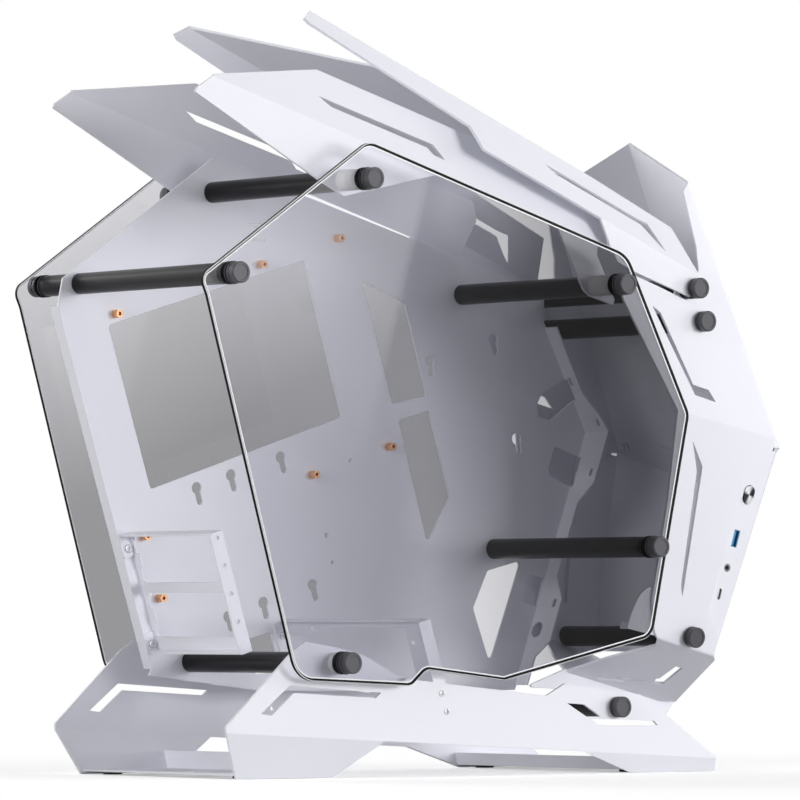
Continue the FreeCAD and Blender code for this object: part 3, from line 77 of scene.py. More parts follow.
# %% Camera
CAMERA_SPOT = (-2.83048, -3.71201, 0.10946)
CAMERA_TURN = -37.0039
CAMERA_TIP = 1.9368
SENSOR = 36.0
FOCAL_IN_PIXELS = 6486.74
PICTURE_WIDTH = 800
NEAREST, FARTHEST = 0.5, 60.0


def link_new(name, data):
    """A new object in the scene."""
    thing = bpy.data.objects.new(name, data)
    scene.collection.objects.link(thing)
    return thing


camera_data = bpy.data.cameras.new("photo_camera")
camera_data.sensor_width = SENSOR
camera_data.lens = FOCAL_IN_PIXELS * SENSOR / PICTURE_WIDTH
camera_data.clip_start, camera_data.clip_end = NEAREST, FARTHEST
camera = link_new("photo_camera", camera_data)
camera.location = CAMERA_SPOT
camera.rotation_euler = Euler((math.radians(90 + CAMERA_TIP), 0, math.radians(CAMERA_TURN)))
scene.camera = camera
scene.view_settings.view_transform = "Standard"
print("camera with a lens of", round(camera_data.lens, 1), "mm")

# %% [markdown]
# ## Small helpers for node trees
#
# A world, a material or a Geometry Nodes tree is a few nodes in a row. These helpers add a node
# with its settings and join nodes. A new material starts empty, or with one Principled shader,
# whose plain numbers are set on its own sockets.

# %% Node helpers
def add_node(tree, kind, second=None, **settings):
    """A new node. A setting is one of its properties, or else one of its inputs by name.

    The second input of a sum has no name of its own, and is set by second.
    """
    node = tree.nodes.new(kind)
    for name, value in settings.items():
        if hasattr(node, name):
            setattr(node, name, value)
        else:
            node.inputs[name.replace("_", " ")].default_value = value
    if second is not None:
        node.inputs[1].default_value = second
    return node


def sum_node(tree, operation, second=None):
    """A Math node, whose second number may be fixed."""
    return add_node(tree, "ShaderNodeMath", second, operation=operation)


def join(tree, source, target):
    tree.links.new(source, target)


def chain(tree, *row):
    """Joins the first output of each node in a row to the first input of the next."""
    for source, target in zip(row, row[1:]):
        join(tree, source.outputs[0], target.inputs[0])


def grey(level):
    return (level, level, level, 1)


def empty_material(name):
    material = bpy.data.materials.new(name)
    material.use_nodes = True
    material.node_tree.nodes.clear()
    return material, material.node_tree


def principled(name, colour, roughness, metallic=0.0, specular=0.5):
    """A material with one Principled shader."""
    material = bpy.data.materials.new(name)
    material.use_nodes = True
    shader = material.node_tree.nodes["Principled BSDF"]
    shader.inputs["Base Color"].default_value = (*colour, 1)
    shader.inputs["Roughness"].default_value = roughness
    shader.inputs["Metallic"].default_value = metallic
    shader.inputs["Specular IOR Level"].default_value = specular
    return material, material.node_tree, shader


def new_group(name, inputs, outputs):
    """A node group with named inputs (name: kind, value) and outputs (name: kind)."""
    group = bpy.data.node_groups.new(name, "ShaderNodeTree")
    for title, (kind, value) in inputs.items():
        socket = group.interface.new_socket(title, in_out="INPUT", socket_type=kind)
        socket.default_value = value
    for title, kind in outputs.items():
        group.interface.new_socket(title, in_out="OUTPUT", socket_type=kind)
    return group, group.nodes.new("NodeGroupInput"), group.nodes.new("NodeGroupOutput")


def place_group(tree, shader, group, values):
    """Places a group, sets its inputs by name and leads each output to the shader's own input."""
    placed = add_node(tree, "ShaderNodeGroup", node_tree=group)
    for title, value in values.items():
        placed.inputs[title].default_value = value
    for socket in placed.outputs:
        title = "Base Color" if socket.name == "Colour" else socket.name
        join(tree, socket, shader.inputs[title])


def seen_directly(tree):
    """One for rays from the camera, a mirror or clear glass, and zero for light that bounces."""
    ray = add_node(tree, "ShaderNodeLightPath")
    glossy = sum_node(tree, "MAXIMUM")
    seen = sum_node(tree, "MAXIMUM")
    join(tree, ray.outputs["Is Glossy Ray"], glossy.inputs[0])
    join(tree, ray.outputs["Is Transmission Ray"], glossy.inputs[1])
    join(tree, ray.outputs["Is Camera Ray"], seen.inputs[0])
    join(tree, glossy.outputs[0], seen.inputs[1])
    return seen.outputs[0]


print("helpers ready")

# %% [markdown]
# ## Light
#
# A product like this is lit by large soft boxes, so that white sheets stay white and only their
# folds change tone. The main box stands low in front of the side panels, to the right of the
# camera, and leaves faces that look down or to the rear a shade darker. A weak one hangs above,
# and others open the front, the rear and the far side. Rays that leave the object without hitting
# anything see a plain white world, but the light that this world sheds on the case is kept low,
# so that the inside of the case stays in shade.

# %% World
WORLD_LIGHT = 0.14

world = bpy.data.worlds.new("white_studio")
scene.world = world
world.use_nodes = True
tree = world.node_tree
tree.nodes.clear()
strength = add_node(tree, "ShaderNodeMapRange", To_Min=WORLD_LIGHT, To_Max=1.0)
sky = add_node(tree, "ShaderNodeBackground", Color=grey(1))
join(tree, seen_directly(tree), strength.inputs["Value"])
join(tree, strength.outputs["Result"], sky.inputs["Strength"])
chain(tree, sky, add_node(tree, "ShaderNodeOutputWorld"))
print("world light", WORLD_LIGHT)

# %% Soft boxes
MIDDLE = (cad_low + cad_high) / 2
SOFT_BOXES = [    # name, place, width in metres, watts
    ("side_box", (1.3, -3.4, 0.5), 1.6, 92.0),
    ("top_box", (0.2, -0.3, 3.2), 2.4, 15.0),
    ("front_box", (3.2, -1.6, 0.4), 1.8, 48.0),
    ("rear_box", (-3.0, -0.7, 1.0), 1.8, 38.0),
    ("back_box", (-0.6, 3.6, 0.9), 2.0, 100.0),
]


def soft_box(name, spot, size, watts):
    """A square area lamp that looks at the middle of the case."""
    data = bpy.data.lights.new(name, "AREA")
    data.shape = "SQUARE"
    data.size = size
    data.energy = watts
    lamp = link_new(name, data)
    lamp.location = spot
    lamp.rotation_euler = (MIDDLE - Vector(spot)).to_track_quat("-Z", "Y").to_euler()


for box in SOFT_BOXES:
    soft_box(*box)
print(len(SOFT_BOXES), "soft boxes")

# %% [markdown]
# ## Floor
#
# The floor is one pale sheet. For the camera and in reflections it glows a little, so that it
# joins the white background, and the light that falls on it only adds the last part. Where a foot
# keeps that light away, the soft shadow stays. With the distance from the case the glow takes
# over, until the floor and the background are the same white. Light that bounces sees a plain
# pale floor.

# %% Floor
FLOOR_HALF = 12.0
FLOOR_DROP = 0.2 * MM      # so that the floor and the pads under the feet don't share a plane
FLOOR_BOUNCE = 0.55
FLOOR_PALE = 0.90
FLOOR_GLOW = 0.40
FADE_FROM, FADE_TO = 0.36, 0.80

corners = [(-1, -1), (1, -1), (1, 1), (-1, 1)]
floor_mesh = bpy.data.meshes.new("floor")
floor_mesh.from_pydata([(x * FLOOR_HALF, y * FLOOR_HALF, 0) for x, y in corners], [],
                       [range(len(corners))])
floor = link_new("floor", floor_mesh)
floor.location.z = -FLOOR_DROP

floor_paint, tree = empty_material("pale_floor")
bounce = add_node(tree, "ShaderNodeBsdfDiffuse", Color=grey(FLOOR_BOUNCE))
pale = add_node(tree, "ShaderNodeBsdfDiffuse", Color=grey(FLOOR_PALE))
glow = add_node(tree, "ShaderNodeEmission", Strength=FLOOR_GLOW)
lit = add_node(tree, "ShaderNodeAddShader")
background_white = add_node(tree, "ShaderNodeEmission")
place = add_node(tree, "ShaderNodeTexCoord")
distance = add_node(tree, "ShaderNodeVectorMath", operation="LENGTH")
fade = add_node(tree, "ShaderNodeMapRange", interpolation_type="SMOOTHSTEP",
                From_Min=FADE_FROM, From_Max=FADE_TO)
shown = add_node(tree, "ShaderNodeMixShader")
either = add_node(tree, "ShaderNodeMixShader")
join(tree, place.outputs["Object"], distance.inputs[0])
join(tree, distance.outputs["Value"], fade.inputs["Value"])
join(tree, pale.outputs[0], lit.inputs[0])
join(tree, glow.outputs[0], lit.inputs[1])
join(tree, fade.outputs["Result"], shown.inputs[0])
join(tree, lit.outputs[0], shown.inputs[1])
join(tree, background_white.outputs[0], shown.inputs[2])
join(tree, seen_directly(tree), either.inputs[0])
join(tree, bounce.outputs[0], either.inputs[1])
join(tree, shown.outputs[0], either.inputs[2])
chain(tree, either, add_node(tree, "ShaderNodeOutputMaterial"))
floor_mesh.materials.append(floor_paint)
print("floor", 2 * FLOOR_HALF, "m wide")

# %% [markdown]
# ## What the glass mirrors
#
# The near pane shows the steep edge of a soft box: its rear part is paler than the rest, and the
# paler part fades out downwards. Two cards stand beside the case and are seen only in
# reflections. The dark flag fills the whole pane, and the bright card stands a little nearer and
# covers the rear part. Each is the patch of the pane that it should fill, thrown outwards from
# where the pane mirrors the camera.

# %% Reflection cards
PANE_Y = -0.116
FLAG_Y = -1.95
CARD_Y = -1.85
BRIGHT_PATCH = [(-0.0745, 0.480), (-0.094, 0.418), (-0.155, 0.206), (-0.192, 0.080),
                (-0.360, 0.080), (-0.360, 0.480)]
BRIGHT_FADE = (0.170, 0.400)      # the heights on the pane between which the card grows bright
DARK_PATCH = [(-0.500, -0.100), (0.360, -0.100), (0.360, 0.600), (-0.500, 0.600)]
CARD_LIGHT = 2.1
FLAG_LIGHT = 0.26


def thrown(x, z, depth):
    """Where the line from the mirrored camera through a spot on the pane meets this depth."""
    eye = Vector((CAMERA_SPOT[0], 2 * PANE_Y - CAMERA_SPOT[1], CAMERA_SPOT[2]))
    return eye + (Vector((x, PANE_Y, z)) - eye) * ((depth - eye.y) / (PANE_Y - eye.y))


def reflection_card(name, patch, depth, light, fade=None):
    """A card, seen only in reflections, that fills a patch of the near pane for the camera."""
    mesh = bpy.data.meshes.new(name)
    mesh.from_pydata([thrown(x, z, depth) for x, z in patch], [], [range(len(patch))])
    card = link_new(name, mesh)
    for ray in ("camera", "diffuse", "shadow", "transmission"):
        setattr(card, "visible_" + ray, False)
    paint, tree = empty_material(name)
    emit = add_node(tree, "ShaderNodeEmission", Strength=light)
    if fade:
        low, high = (thrown(patch[0][0], height, depth).z for height in fade)
        place = add_node(tree, "ShaderNodeTexCoord")
        split = add_node(tree, "ShaderNodeSeparateXYZ")
        rise = add_node(tree, "ShaderNodeMapRange", interpolation_type="SMOOTHSTEP",
                        From_Min=low, From_Max=high, To_Min=FLAG_LIGHT, To_Max=light)
        join(tree, place.outputs["Object"], split.inputs[0])
        join(tree, split.outputs["Z"], rise.inputs["Value"])
        join(tree, rise.outputs["Result"], emit.inputs["Strength"])
    chain(tree, emit, add_node(tree, "ShaderNodeOutputMaterial"))
    mesh.materials.append(paint)


reflection_card("dark_flag", DARK_PATCH, FLAG_Y, FLAG_LIGHT)
reflection_card("bright_card", BRIGHT_PATCH, CARD_Y, CARD_LIGHT, BRIGHT_FADE)
print("two reflection cards")

# %% [markdown]
# ## Coated surface, shared by every painted or moulded part
#
# Powder is sprayed dry and melts into a skin with a very fine orange peel. Its tone drifts a
# little from spot to spot, and it is a touch rougher where it is paler. Sheet edges are never
# razor sharp under the skin, so the normal is rounded over half a millimetre there, which gives
# each edge its fine line of light. One group holds all three, and each material sets its own
# strengths.

# %% Coated surface group
PEEL_PER_METRE = 900.0
PEEL_DEPTH = 0.02 * MM
SKIN_EDGE = 0.5 * MM
NOISE_MIDDLE = 0.5
ROUGH_PER_DRIFT = 2.0


def make_coat_group():
    group, given, gives = new_group(
        "coated_surface",
        {"Colour": ("NodeSocketColor", grey(0.9)),
         "Drift": ("NodeSocketFloat", 0.02),
         "Roughness": ("NodeSocketFloat", 0.45),
         "Peel Per Metre": ("NodeSocketFloat", PEEL_PER_METRE),
         "Peel Depth": ("NodeSocketFloat", PEEL_DEPTH),
         "Edge Radius": ("NodeSocketFloat", SKIN_EDGE)},
        {"Colour": "NodeSocketColor", "Roughness": "NodeSocketFloat",
         "Normal": "NodeSocketVector"})
    place = add_node(group, "ShaderNodeTexCoord")
    cloud = add_node(group, "ShaderNodeTexNoise", Scale=9.0, Detail=4.0, Roughness=0.6)
    shade = sum_node(group, "SUBTRACT", NOISE_MIDDLE)
    amount = sum_node(group, "MULTIPLY")
    level = sum_node(group, "ADD", 1.0)
    tint = add_node(group, "ShaderNodeVectorMath", operation="SCALE")
    rough = sum_node(group, "MULTIPLY_ADD", ROUGH_PER_DRIFT)
    peel = add_node(group, "ShaderNodeTexNoise", Detail=1.5, Roughness=0.5)
    bevel = add_node(group, "ShaderNodeBevel", samples=4)
    bump = add_node(group, "ShaderNodeBump", Strength=1.0)
    join(group, place.outputs["Object"], cloud.inputs["Vector"])
    join(group, place.outputs["Object"], peel.inputs["Vector"])
    chain(group, cloud, shade, amount, level)
    join(group, given.outputs["Drift"], amount.inputs[1])
    join(group, given.outputs["Colour"], tint.inputs[0])
    join(group, level.outputs[0], tint.inputs["Scale"])
    chain(group, amount, rough)
    join(group, given.outputs["Roughness"], rough.inputs[2])
    join(group, given.outputs["Peel Per Metre"], peel.inputs["Scale"])
    join(group, given.outputs["Edge Radius"], bevel.inputs["Radius"])
    join(group, peel.outputs[0], bump.inputs["Height"])
    join(group, given.outputs["Peel Depth"], bump.inputs["Distance"])
    join(group, bevel.outputs[0], bump.inputs["Normal"])
    join(group, tint.outputs[0], gives.inputs["Colour"])
    join(group, rough.outputs[0], gives.inputs["Roughness"])
    join(group, bump.outputs[0], gives.inputs["Normal"])
    return group


COAT_GROUP = make_coat_group()


def coated(name, colour, roughness, peel=PEEL_PER_METRE, depth=PEEL_DEPTH, edge=SKIN_EDGE):
    """A painted or moulded material: the shader's plain numbers, and what varies by the group."""
    material, tree, shader = principled(name, colour, roughness)
    place_group(tree, shader, COAT_GROUP, {
        "Colour": (*colour, 1), "Roughness": roughness, "Peel Per Metre": peel,
        "Peel Depth": depth, "Edge Radius": edge})
    return material


print("coated surface group with", len(COAT_GROUP.nodes), "nodes")

# %% [markdown]
# ## Turned metal, shared by tubes, knobs, sleeves and studs
#
# All the cross tubes and knobs lie along Y, and a lathe leaves its marks round them. The marks
# change quickly along the axis and hardly at all round it, so a noise is stretched by scaling Y
# far more than X and Z. It moves the roughness and raises a bump that is far too fine to see as
# lines.

# %% Turned metal group
ROUND_SCALE = 60.0


def make_turned_group():
    group, given, gives = new_group(
        "turned_metal",
        {"Roughness": ("NodeSocketFloat", 0.3),
         "Spread": ("NodeSocketFloat", 0.12),
         "Lines Per Metre": ("NodeSocketFloat", 2500.0),
         "Depth": ("NodeSocketFloat", 0.01 * MM),
         "Edge Radius": ("NodeSocketFloat", 0.3 * MM)},
        {"Roughness": "NodeSocketFloat", "Normal": "NodeSocketVector"})
    place = add_node(group, "ShaderNodeTexCoord")
    scales = add_node(group, "ShaderNodeCombineXYZ", X=ROUND_SCALE, Z=ROUND_SCALE)
    stretch = add_node(group, "ShaderNodeVectorMath", operation="MULTIPLY")
    marks = add_node(group, "ShaderNodeTexNoise", Scale=1.0, Detail=2.0, Roughness=0.6)
    centred = sum_node(group, "SUBTRACT", NOISE_MIDDLE)
    rough = sum_node(group, "MULTIPLY_ADD")
    bevel = add_node(group, "ShaderNodeBevel", samples=4)
    bump = add_node(group, "ShaderNodeBump", Strength=0.6)
    join(group, given.outputs["Lines Per Metre"], scales.inputs["Y"])
    join(group, place.outputs["Object"], stretch.inputs[0])
    join(group, scales.outputs[0], stretch.inputs[1])
    join(group, stretch.outputs[0], marks.inputs["Vector"])
    chain(group, marks, centred, rough)
    join(group, given.outputs["Spread"], rough.inputs[1])
    join(group, given.outputs["Roughness"], rough.inputs[2])
    join(group, given.outputs["Edge Radius"], bevel.inputs["Radius"])
    join(group, marks.outputs[0], bump.inputs["Height"])
    join(group, given.outputs["Depth"], bump.inputs["Distance"])
    join(group, bevel.outputs[0], bump.inputs["Normal"])
    join(group, rough.outputs[0], gives.inputs["Roughness"])
    join(group, bump.outputs[0], gives.inputs["Normal"])
    return group


TURNED_GROUP = make_turned_group()


def turned(name, colour, roughness, metallic, specular=0.5):
    """A lathe-turned metal or its anodised skin."""
    material, tree, shader = principled(name, colour, roughness, metallic, specular)
    place_group(tree, shader, TURNED_GROUP, {"Roughness": roughness})
    return material


print("turned metal group with", len(TURNED_GROUP.nodes), "nodes")

# %% [markdown]
# ## Smoked glass
#
# Each side pane is tempered glass, tinted grey. The near one deepens towards the front, which is
# painted shade for the inside of the case that lies darker towards the front, and the far one is
# darker and clears towards its upper rear corner. The two broad faces let light through with the
# tint and mirror by the angle. Light isn't bent here, so a ray that leaves the pane would be
# mirrored as if it had been bent: there the index is turned over, and both faces mirror as if from
# outside. The narrow rim is coloured near black, painted shade for how it looks when seen through
# the whole depth of the pane, and its ground edge on the near side is coloured pale, a painted
# highlight. The direction of the face, in the pane's own axes, tells them apart: the broad faces
# point along Y and the ground edge half so.

# %% Glass materials
GLASS_IOR = 1.5
MIRROR_ROUGHNESS = 0.02
BLUE_SHARE = 1.02          # the tint lets through a little more blue than red and green
BROAD_FROM = 0.95          # a face that points this much along Y, either way, is a broad one
GROUND_BELOW = -0.3        # an edge that points this much to the near side is the ground one
# The rim's near-black colour is painted shade, and the pale colour of the near ground edge is a
# painted highlight.
RIM_PAINTED_SHADE_COLOUR = (0.004, 0.004, 0.005, 1)
GROUND_PAINTED_HIGHLIGHT_COLOUR = (0.75, 0.76, 0.78, 1)


def smoked_glass(name, passed, clearest, clearing):
    """Tinted glass whose broad faces, across Y, each pass a share of the light.

    The clearing is the change of that share per metre of x and of z, and its value at the
    origin. The share stays between passed and clearest.
    """
    material, tree = empty_material(name)
    per_x, per_z, at_origin = clearing
    place = add_node(tree, "ShaderNodeTexCoord")
    along = add_node(tree, "ShaderNodeVectorMath", (per_x, 0, per_z), operation="DOT_PRODUCT")
    share = sum_node(tree, "ADD", at_origin)
    limited = add_node(tree, "ShaderNodeClamp", Min=passed, Max=clearest)
    blue_share = sum_node(tree, "MULTIPLY", BLUE_SHARE)
    tint = add_node(tree, "ShaderNodeCombineColor")
    clear = add_node(tree, "ShaderNodeBsdfTransparent")
    join(tree, place.outputs["Object"], along.inputs[0])
    join(tree, along.outputs["Value"], share.inputs[0])
    chain(tree, share, limited, blue_share)
    join(tree, limited.outputs[0], tint.inputs["Red"])
    join(tree, limited.outputs[0], tint.inputs["Green"])
    join(tree, blue_share.outputs[0], tint.inputs["Blue"])
    chain(tree, tint, clear)

    face = add_node(tree, "ShaderNodeNewGeometry")
    index = add_node(tree, "ShaderNodeMapRange", To_Min=GLASS_IOR, To_Max=1 / GLASS_IOR)
    gloss = add_node(tree, "ShaderNodeFresnel")
    mirror = add_node(tree, "ShaderNodeBsdfGlossy", Roughness=MIRROR_ROUGHNESS)
    broad = add_node(tree, "ShaderNodeMixShader")
    join(tree, face.outputs["Backfacing"], index.inputs["Value"])
    join(tree, index.outputs["Result"], gloss.inputs["IOR"])
    join(tree, gloss.outputs[0], broad.inputs[0])
    join(tree, clear.outputs[0], broad.inputs[1])
    join(tree, mirror.outputs[0], broad.inputs[2])

    # Painted shade on the rim, and a painted highlight on the ground edge of the near side.
    rim = add_node(tree, "ShaderNodeBsdfPrincipled", Base_Color=RIM_PAINTED_SHADE_COLOUR, Roughness=0.4,
                   Specular_IOR_Level=0.03)
    ground = add_node(tree, "ShaderNodeBsdfPrincipled", Base_Color=GROUND_PAINTED_HIGHLIGHT_COLOUR, Roughness=0.3)
    own_way = add_node(tree, "ShaderNodeVectorTransform", vector_type="NORMAL",
                       convert_from="WORLD", convert_to="OBJECT")
    split = add_node(tree, "ShaderNodeSeparateXYZ")
    lean = sum_node(tree, "ABSOLUTE")
    is_broad = sum_node(tree, "GREATER_THAN", BROAD_FROM)
    is_ground = sum_node(tree, "LESS_THAN", GROUND_BELOW)
    edge = add_node(tree, "ShaderNodeMixShader")
    either = add_node(tree, "ShaderNodeMixShader")
    join(tree, face.outputs["True Normal"], own_way.inputs[0])
    chain(tree, own_way, split)
    join(tree, split.outputs["Y"], lean.inputs[0])
    join(tree, split.outputs["Y"], is_ground.inputs[0])
    chain(tree, lean, is_broad, either)
    chain(tree, is_ground, edge)
    join(tree, rim.outputs[0], edge.inputs[1])
    join(tree, ground.outputs[0], edge.inputs[2])
    join(tree, edge.outputs[0], either.inputs[1])
    join(tree, broad.outputs[0], either.inputs[2])
    chain(tree, either, add_node(tree, "ShaderNodeOutputMaterial"))
    return material


# The grey tint is the glass's own, but the near pane's deepening towards the front is painted
# shade for the darker inside of the case there.
NEAR_PASSED, NEAR_CLEAREST = 0.60, 0.92
NEAR_CLEARING_PAINTED_SHADE = (-2.00, -0.26, 0.780)
FAR_PASSED, FAR_CLEAREST = 0.57, 0.82
FAR_CLEARING = (-0.60, 1.29, 0.183)
near_glass = smoked_glass("near_smoked_glass", NEAR_PASSED, NEAR_CLEAREST, NEAR_CLEARING_PAINTED_SHADE)
far_glass = smoked_glass("far_smoked_glass", FAR_PASSED, FAR_CLEAREST, FAR_CLEARING)
print("near glass passes", round(NEAR_PASSED ** 2, 2), "to", round(NEAR_CLEAREST ** 2, 2))

# %% [markdown]
# ## Every other finish, and which part wears it
#
# The sheets are white powder coat with a faint cool tint. Tubes are black satin anodised, knobs a
# dark graphite grey. The sleeves between glass and wings are bare bright metal, the standoffs
# brass. Moulded parts have a finer peel than powder coat and sharper edges.

# %% Finishes
MOULD_PEEL = 3200.0
MOULD_EDGE = 0.2 * MM
BOARD_EDGE = 0.1 * MM


def moulded(name, colour, roughness):
    return coated(name, colour, roughness, peel=MOULD_PEEL, edge=MOULD_EDGE)


white = coated("white_powder_coat", (0.835, 0.84, 0.905), 0.46)
black_tube = turned("black_anodised_tube", (0.010, 0.010, 0.012), 0.30, 0.0, specular=0.14)
graphite = turned("graphite_knob", (0.060, 0.060, 0.068), 0.36, 0.55)
sleeve_metal = turned("bright_sleeve_metal", (0.60, 0.60, 0.62), 0.30, 1.0)
brass = turned("brass_standoff", (0.80, 0.46, 0.26), 0.30, 1.0)
steel = turned("polished_steel", (0.62, 0.62, 0.64), 0.22, 1.0)
gold = turned("gilt_contact", (0.86, 0.62, 0.28), 0.25, 1.0)
rubber = coated("black_rubber", (0.018, 0.018, 0.019), 0.75, 2600.0, 0.03 * MM, MOULD_EDGE)
plastic = moulded("black_moulded_plastic", (0.022, 0.022, 0.025), 0.5)
blue = moulded("blue_port_plastic", (0.010, 0.220, 0.480), 0.42)
grey_plastic = moulded("grey_socket_plastic", (0.26, 0.26, 0.27), 0.4)
board_green = coated("dark_circuit_board", (0.012, 0.030, 0.020), 0.38, 2400.0, edge=BOARD_EDGE)

FINISHES = {
    "glass_left": near_glass, "glass_right": far_glass,
    "glass_tubes": black_tube, "short_tubes": black_tube, "body_tubes": black_tube,
    "glass_knobs": graphite, "panel_knobs": graphite,
    "glass_washers": rubber, "floor_pads": rubber,
    "glass_spacers": sleeve_metal, "board_standoffs": brass,
    "bracket_screws": steel, "jaw_screws": steel, "power_button": steel,
    "usb_a_shell": steel, "usb_c_port": steel, "audio_jack": grey_plastic,
    "usb_a_insert": blue, "button_switch": plastic, "port_board": board_green,
}
for name, node in nodes.items():
    finish = FINISHES.get(name, white)
    for slot in node.material_slots:
        slot.link = "OBJECT"
        slot.material = finish
    if not node.material_slots:
        node.data.materials.append(finish)
print(sum(name not in FINISHES for name in nodes), "nodes in white powder coat")

# %% [markdown]
# ## Geometry Nodes helpers
#
# What repeats is grown by a node tree with named inputs. The tree ends in Realize Instances and
# Set Material, and its result is read back as a plain mesh, so nothing live is left on the piece.

# %% Geometry Nodes helpers
CASE = "case"


def new_maker(name, inputs):
    """A Geometry Nodes tree with a mesh input, named size inputs and a mesh output."""
    maker = bpy.data.node_groups.new(name, "GeometryNodeTree")
    inputs = {"Geometry": ("NodeSocketGeometry", None), **inputs,
              "Material": ("NodeSocketMaterial", None)}
    for title, (kind, value) in inputs.items():
        socket = maker.interface.new_socket(title, in_out="INPUT", socket_type=kind)
        if value is not None:
            socket.default_value = value
    maker.interface.new_socket("Geometry", in_out="OUTPUT", socket_type="NodeSocketGeometry")
    return maker, maker.nodes.new("NodeGroupInput"), maker.nodes.new("NodeGroupOutput")


def finish_maker(maker, given, gives, shape):
    """The end of each tree: a real mesh with flat faces and the material that was given."""
    real = add_node(maker, "GeometryNodeRealizeInstances")
    flat = add_node(maker, "GeometryNodeSetShadeSmooth", Shade_Smooth=False)
    paint = add_node(maker, "GeometryNodeSetMaterial")
    chain(maker, shape, real, flat, paint, gives)
    join(maker, given.outputs["Material"], paint.inputs["Material"])


def grow(name, maker, points, values, edges=(), reach=None):
    """The mesh that a maker grows on these points, with its inputs set by name."""
    seeds = bpy.data.meshes.new(name + "_seeds")
    seeds.from_pydata([tuple(p) for p in points], edges, [])
    if reach:
        seeds.attributes.new("reach", "FLOAT", "POINT").data.foreach_set("value", reach)
    holder = link_new(name + "_seeds", seeds)
    modifier = holder.modifiers.new("grow", "NODES")
    modifier.node_group = maker
    for item in maker.interface.items_tree:
        if item.in_out == "INPUT" and item.name in values:
            modifier[item.identifier] = values[item.name]
    bpy.context.view_layer.update()
    grown = holder.evaluated_get(bpy.context.evaluated_depsgraph_get())
    mesh = bpy.data.meshes.new_from_object(grown)
    mesh.name = name
    bpy.data.objects.remove(holder)
    bpy.data.meshes.remove(seeds)
    return mesh


def show_piece(mesh, body):
    """A finished piece, with the name of its mesh, that rides on a body."""
    piece = link_new(mesh.name, mesh)
    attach(piece, body)
    print(mesh.name, len(mesh.polygons), "faces")
    return piece


def solids_of(node):
    """The lowest and highest corner of each solid of a node, found by joining shared corners."""
    mesh = nodes[node].data
    keys, owner = {}, []
    for vertex in mesh.vertices:
        owner.append(keys.setdefault(rounded(vertex.co, 5), len(keys)))
    group = list(range(len(keys)))

    def root(k):
        while group[k] != k:
            group[k] = group[group[k]]
            k = group[k]
        return k

    for face in mesh.polygons:
        first = root(owner[face.vertices[0]])
        for corner in face.vertices[1:]:
            group[root(owner[corner])] = first
    boxes = {}
    for key, k in keys.items():
        low, high = boxes.setdefault(root(k), [list(key), list(key)])
        for axis in range(3):
            low[axis] = min(low[axis], key[axis])
            high[axis] = max(high[axis], key[axis])
    return [(Vector(low), Vector(high)) for low, high in boxes.values()]


print("sleeves found:", len(solids_of("glass_spacers")))

# %% [markdown]
# ## Threaded sleeves
#
# Where a pane stands off from a wing, a threaded metal sleeve shows between the two. A thread is
# a small ridge that climbs round a core, so the tree sweeps a four-sided profile along a spiral
# and joins it to a cylinder. Its turns follow from the length and the pitch.

# %% Threaded sleeve maker
STAND_UP = (math.pi / 2, 0, 0)    # turns what was made lying flat, so that its Z runs along -Y


def make_thread_maker():
    maker, given, gives = new_maker("threaded_sleeve", {
        "Radius": ("NodeSocketFloat", 0.0072),
        "Length": ("NodeSocketFloat", 0.02),
        "Pitch": ("NodeSocketFloat", 0.0015),
        "Ridge": ("NodeSocketFloat", 0.0004)})
    turns = sum_node(maker, "DIVIDE")
    spiral = add_node(maker, "GeometryNodeCurveSpiral", Resolution=40)
    ridge = add_node(maker, "GeometryNodeCurvePrimitiveCircle", Resolution=4)
    sweep = add_node(maker, "GeometryNodeCurveToMesh", Fill_Caps=True)
    half_down = sum_node(maker, "MULTIPLY", -0.5)
    shift = add_node(maker, "ShaderNodeCombineXYZ")
    lower = add_node(maker, "GeometryNodeTransform")
    core = add_node(maker, "GeometryNodeMeshCylinder", Vertices=48)
    both = add_node(maker, "GeometryNodeJoinGeometry")
    lay = add_node(maker, "GeometryNodeTransform", Rotation=STAND_UP)
    place = add_node(maker, "GeometryNodeInstanceOnPoints")
    join(maker, given.outputs["Length"], turns.inputs[0])
    join(maker, given.outputs["Pitch"], turns.inputs[1])
    join(maker, turns.outputs[0], spiral.inputs["Rotations"])
    join(maker, given.outputs["Radius"], spiral.inputs["Start Radius"])
    join(maker, given.outputs["Radius"], spiral.inputs["End Radius"])
    join(maker, given.outputs["Length"], spiral.inputs["Height"])
    join(maker, given.outputs["Ridge"], ridge.inputs["Radius"])
    join(maker, ridge.outputs[0], sweep.inputs["Profile Curve"])
    join(maker, given.outputs["Length"], half_down.inputs[0])
    join(maker, half_down.outputs[0], shift.inputs["Z"])
    join(maker, shift.outputs[0], lower.inputs["Translation"])
    join(maker, given.outputs["Radius"], core.inputs["Radius"])
    join(maker, given.outputs["Length"], core.inputs["Depth"])
    chain(maker, core, both)
    chain(maker, spiral, sweep, lower, both, lay)
    join(maker, given.outputs["Geometry"], place.inputs["Points"])
    join(maker, lay.outputs[0], place.inputs["Instance"])
    finish_maker(maker, given, gives, place)
    return maker


THREAD_MAKER = make_thread_maker()
THREAD_PITCH = 1.6 * MM
THREAD_RIDGE = 0.35 * MM
print("thread maker with", len(THREAD_MAKER.nodes), "nodes")

# %% Grow the sleeves where the frame has them
def join_meshes(name, meshes):
    """Several meshes with the same material as one."""
    points, faces = [], []
    for mesh in meshes:
        start = len(points)
        points += [v.co[:] for v in mesh.vertices]
        faces += [[start + k for k in face.vertices] for face in mesh.polygons]
    whole = bpy.data.meshes.new(name)
    whole.from_pydata(points, [], faces)
    whole.materials.append(meshes[0].materials[0])
    return whole


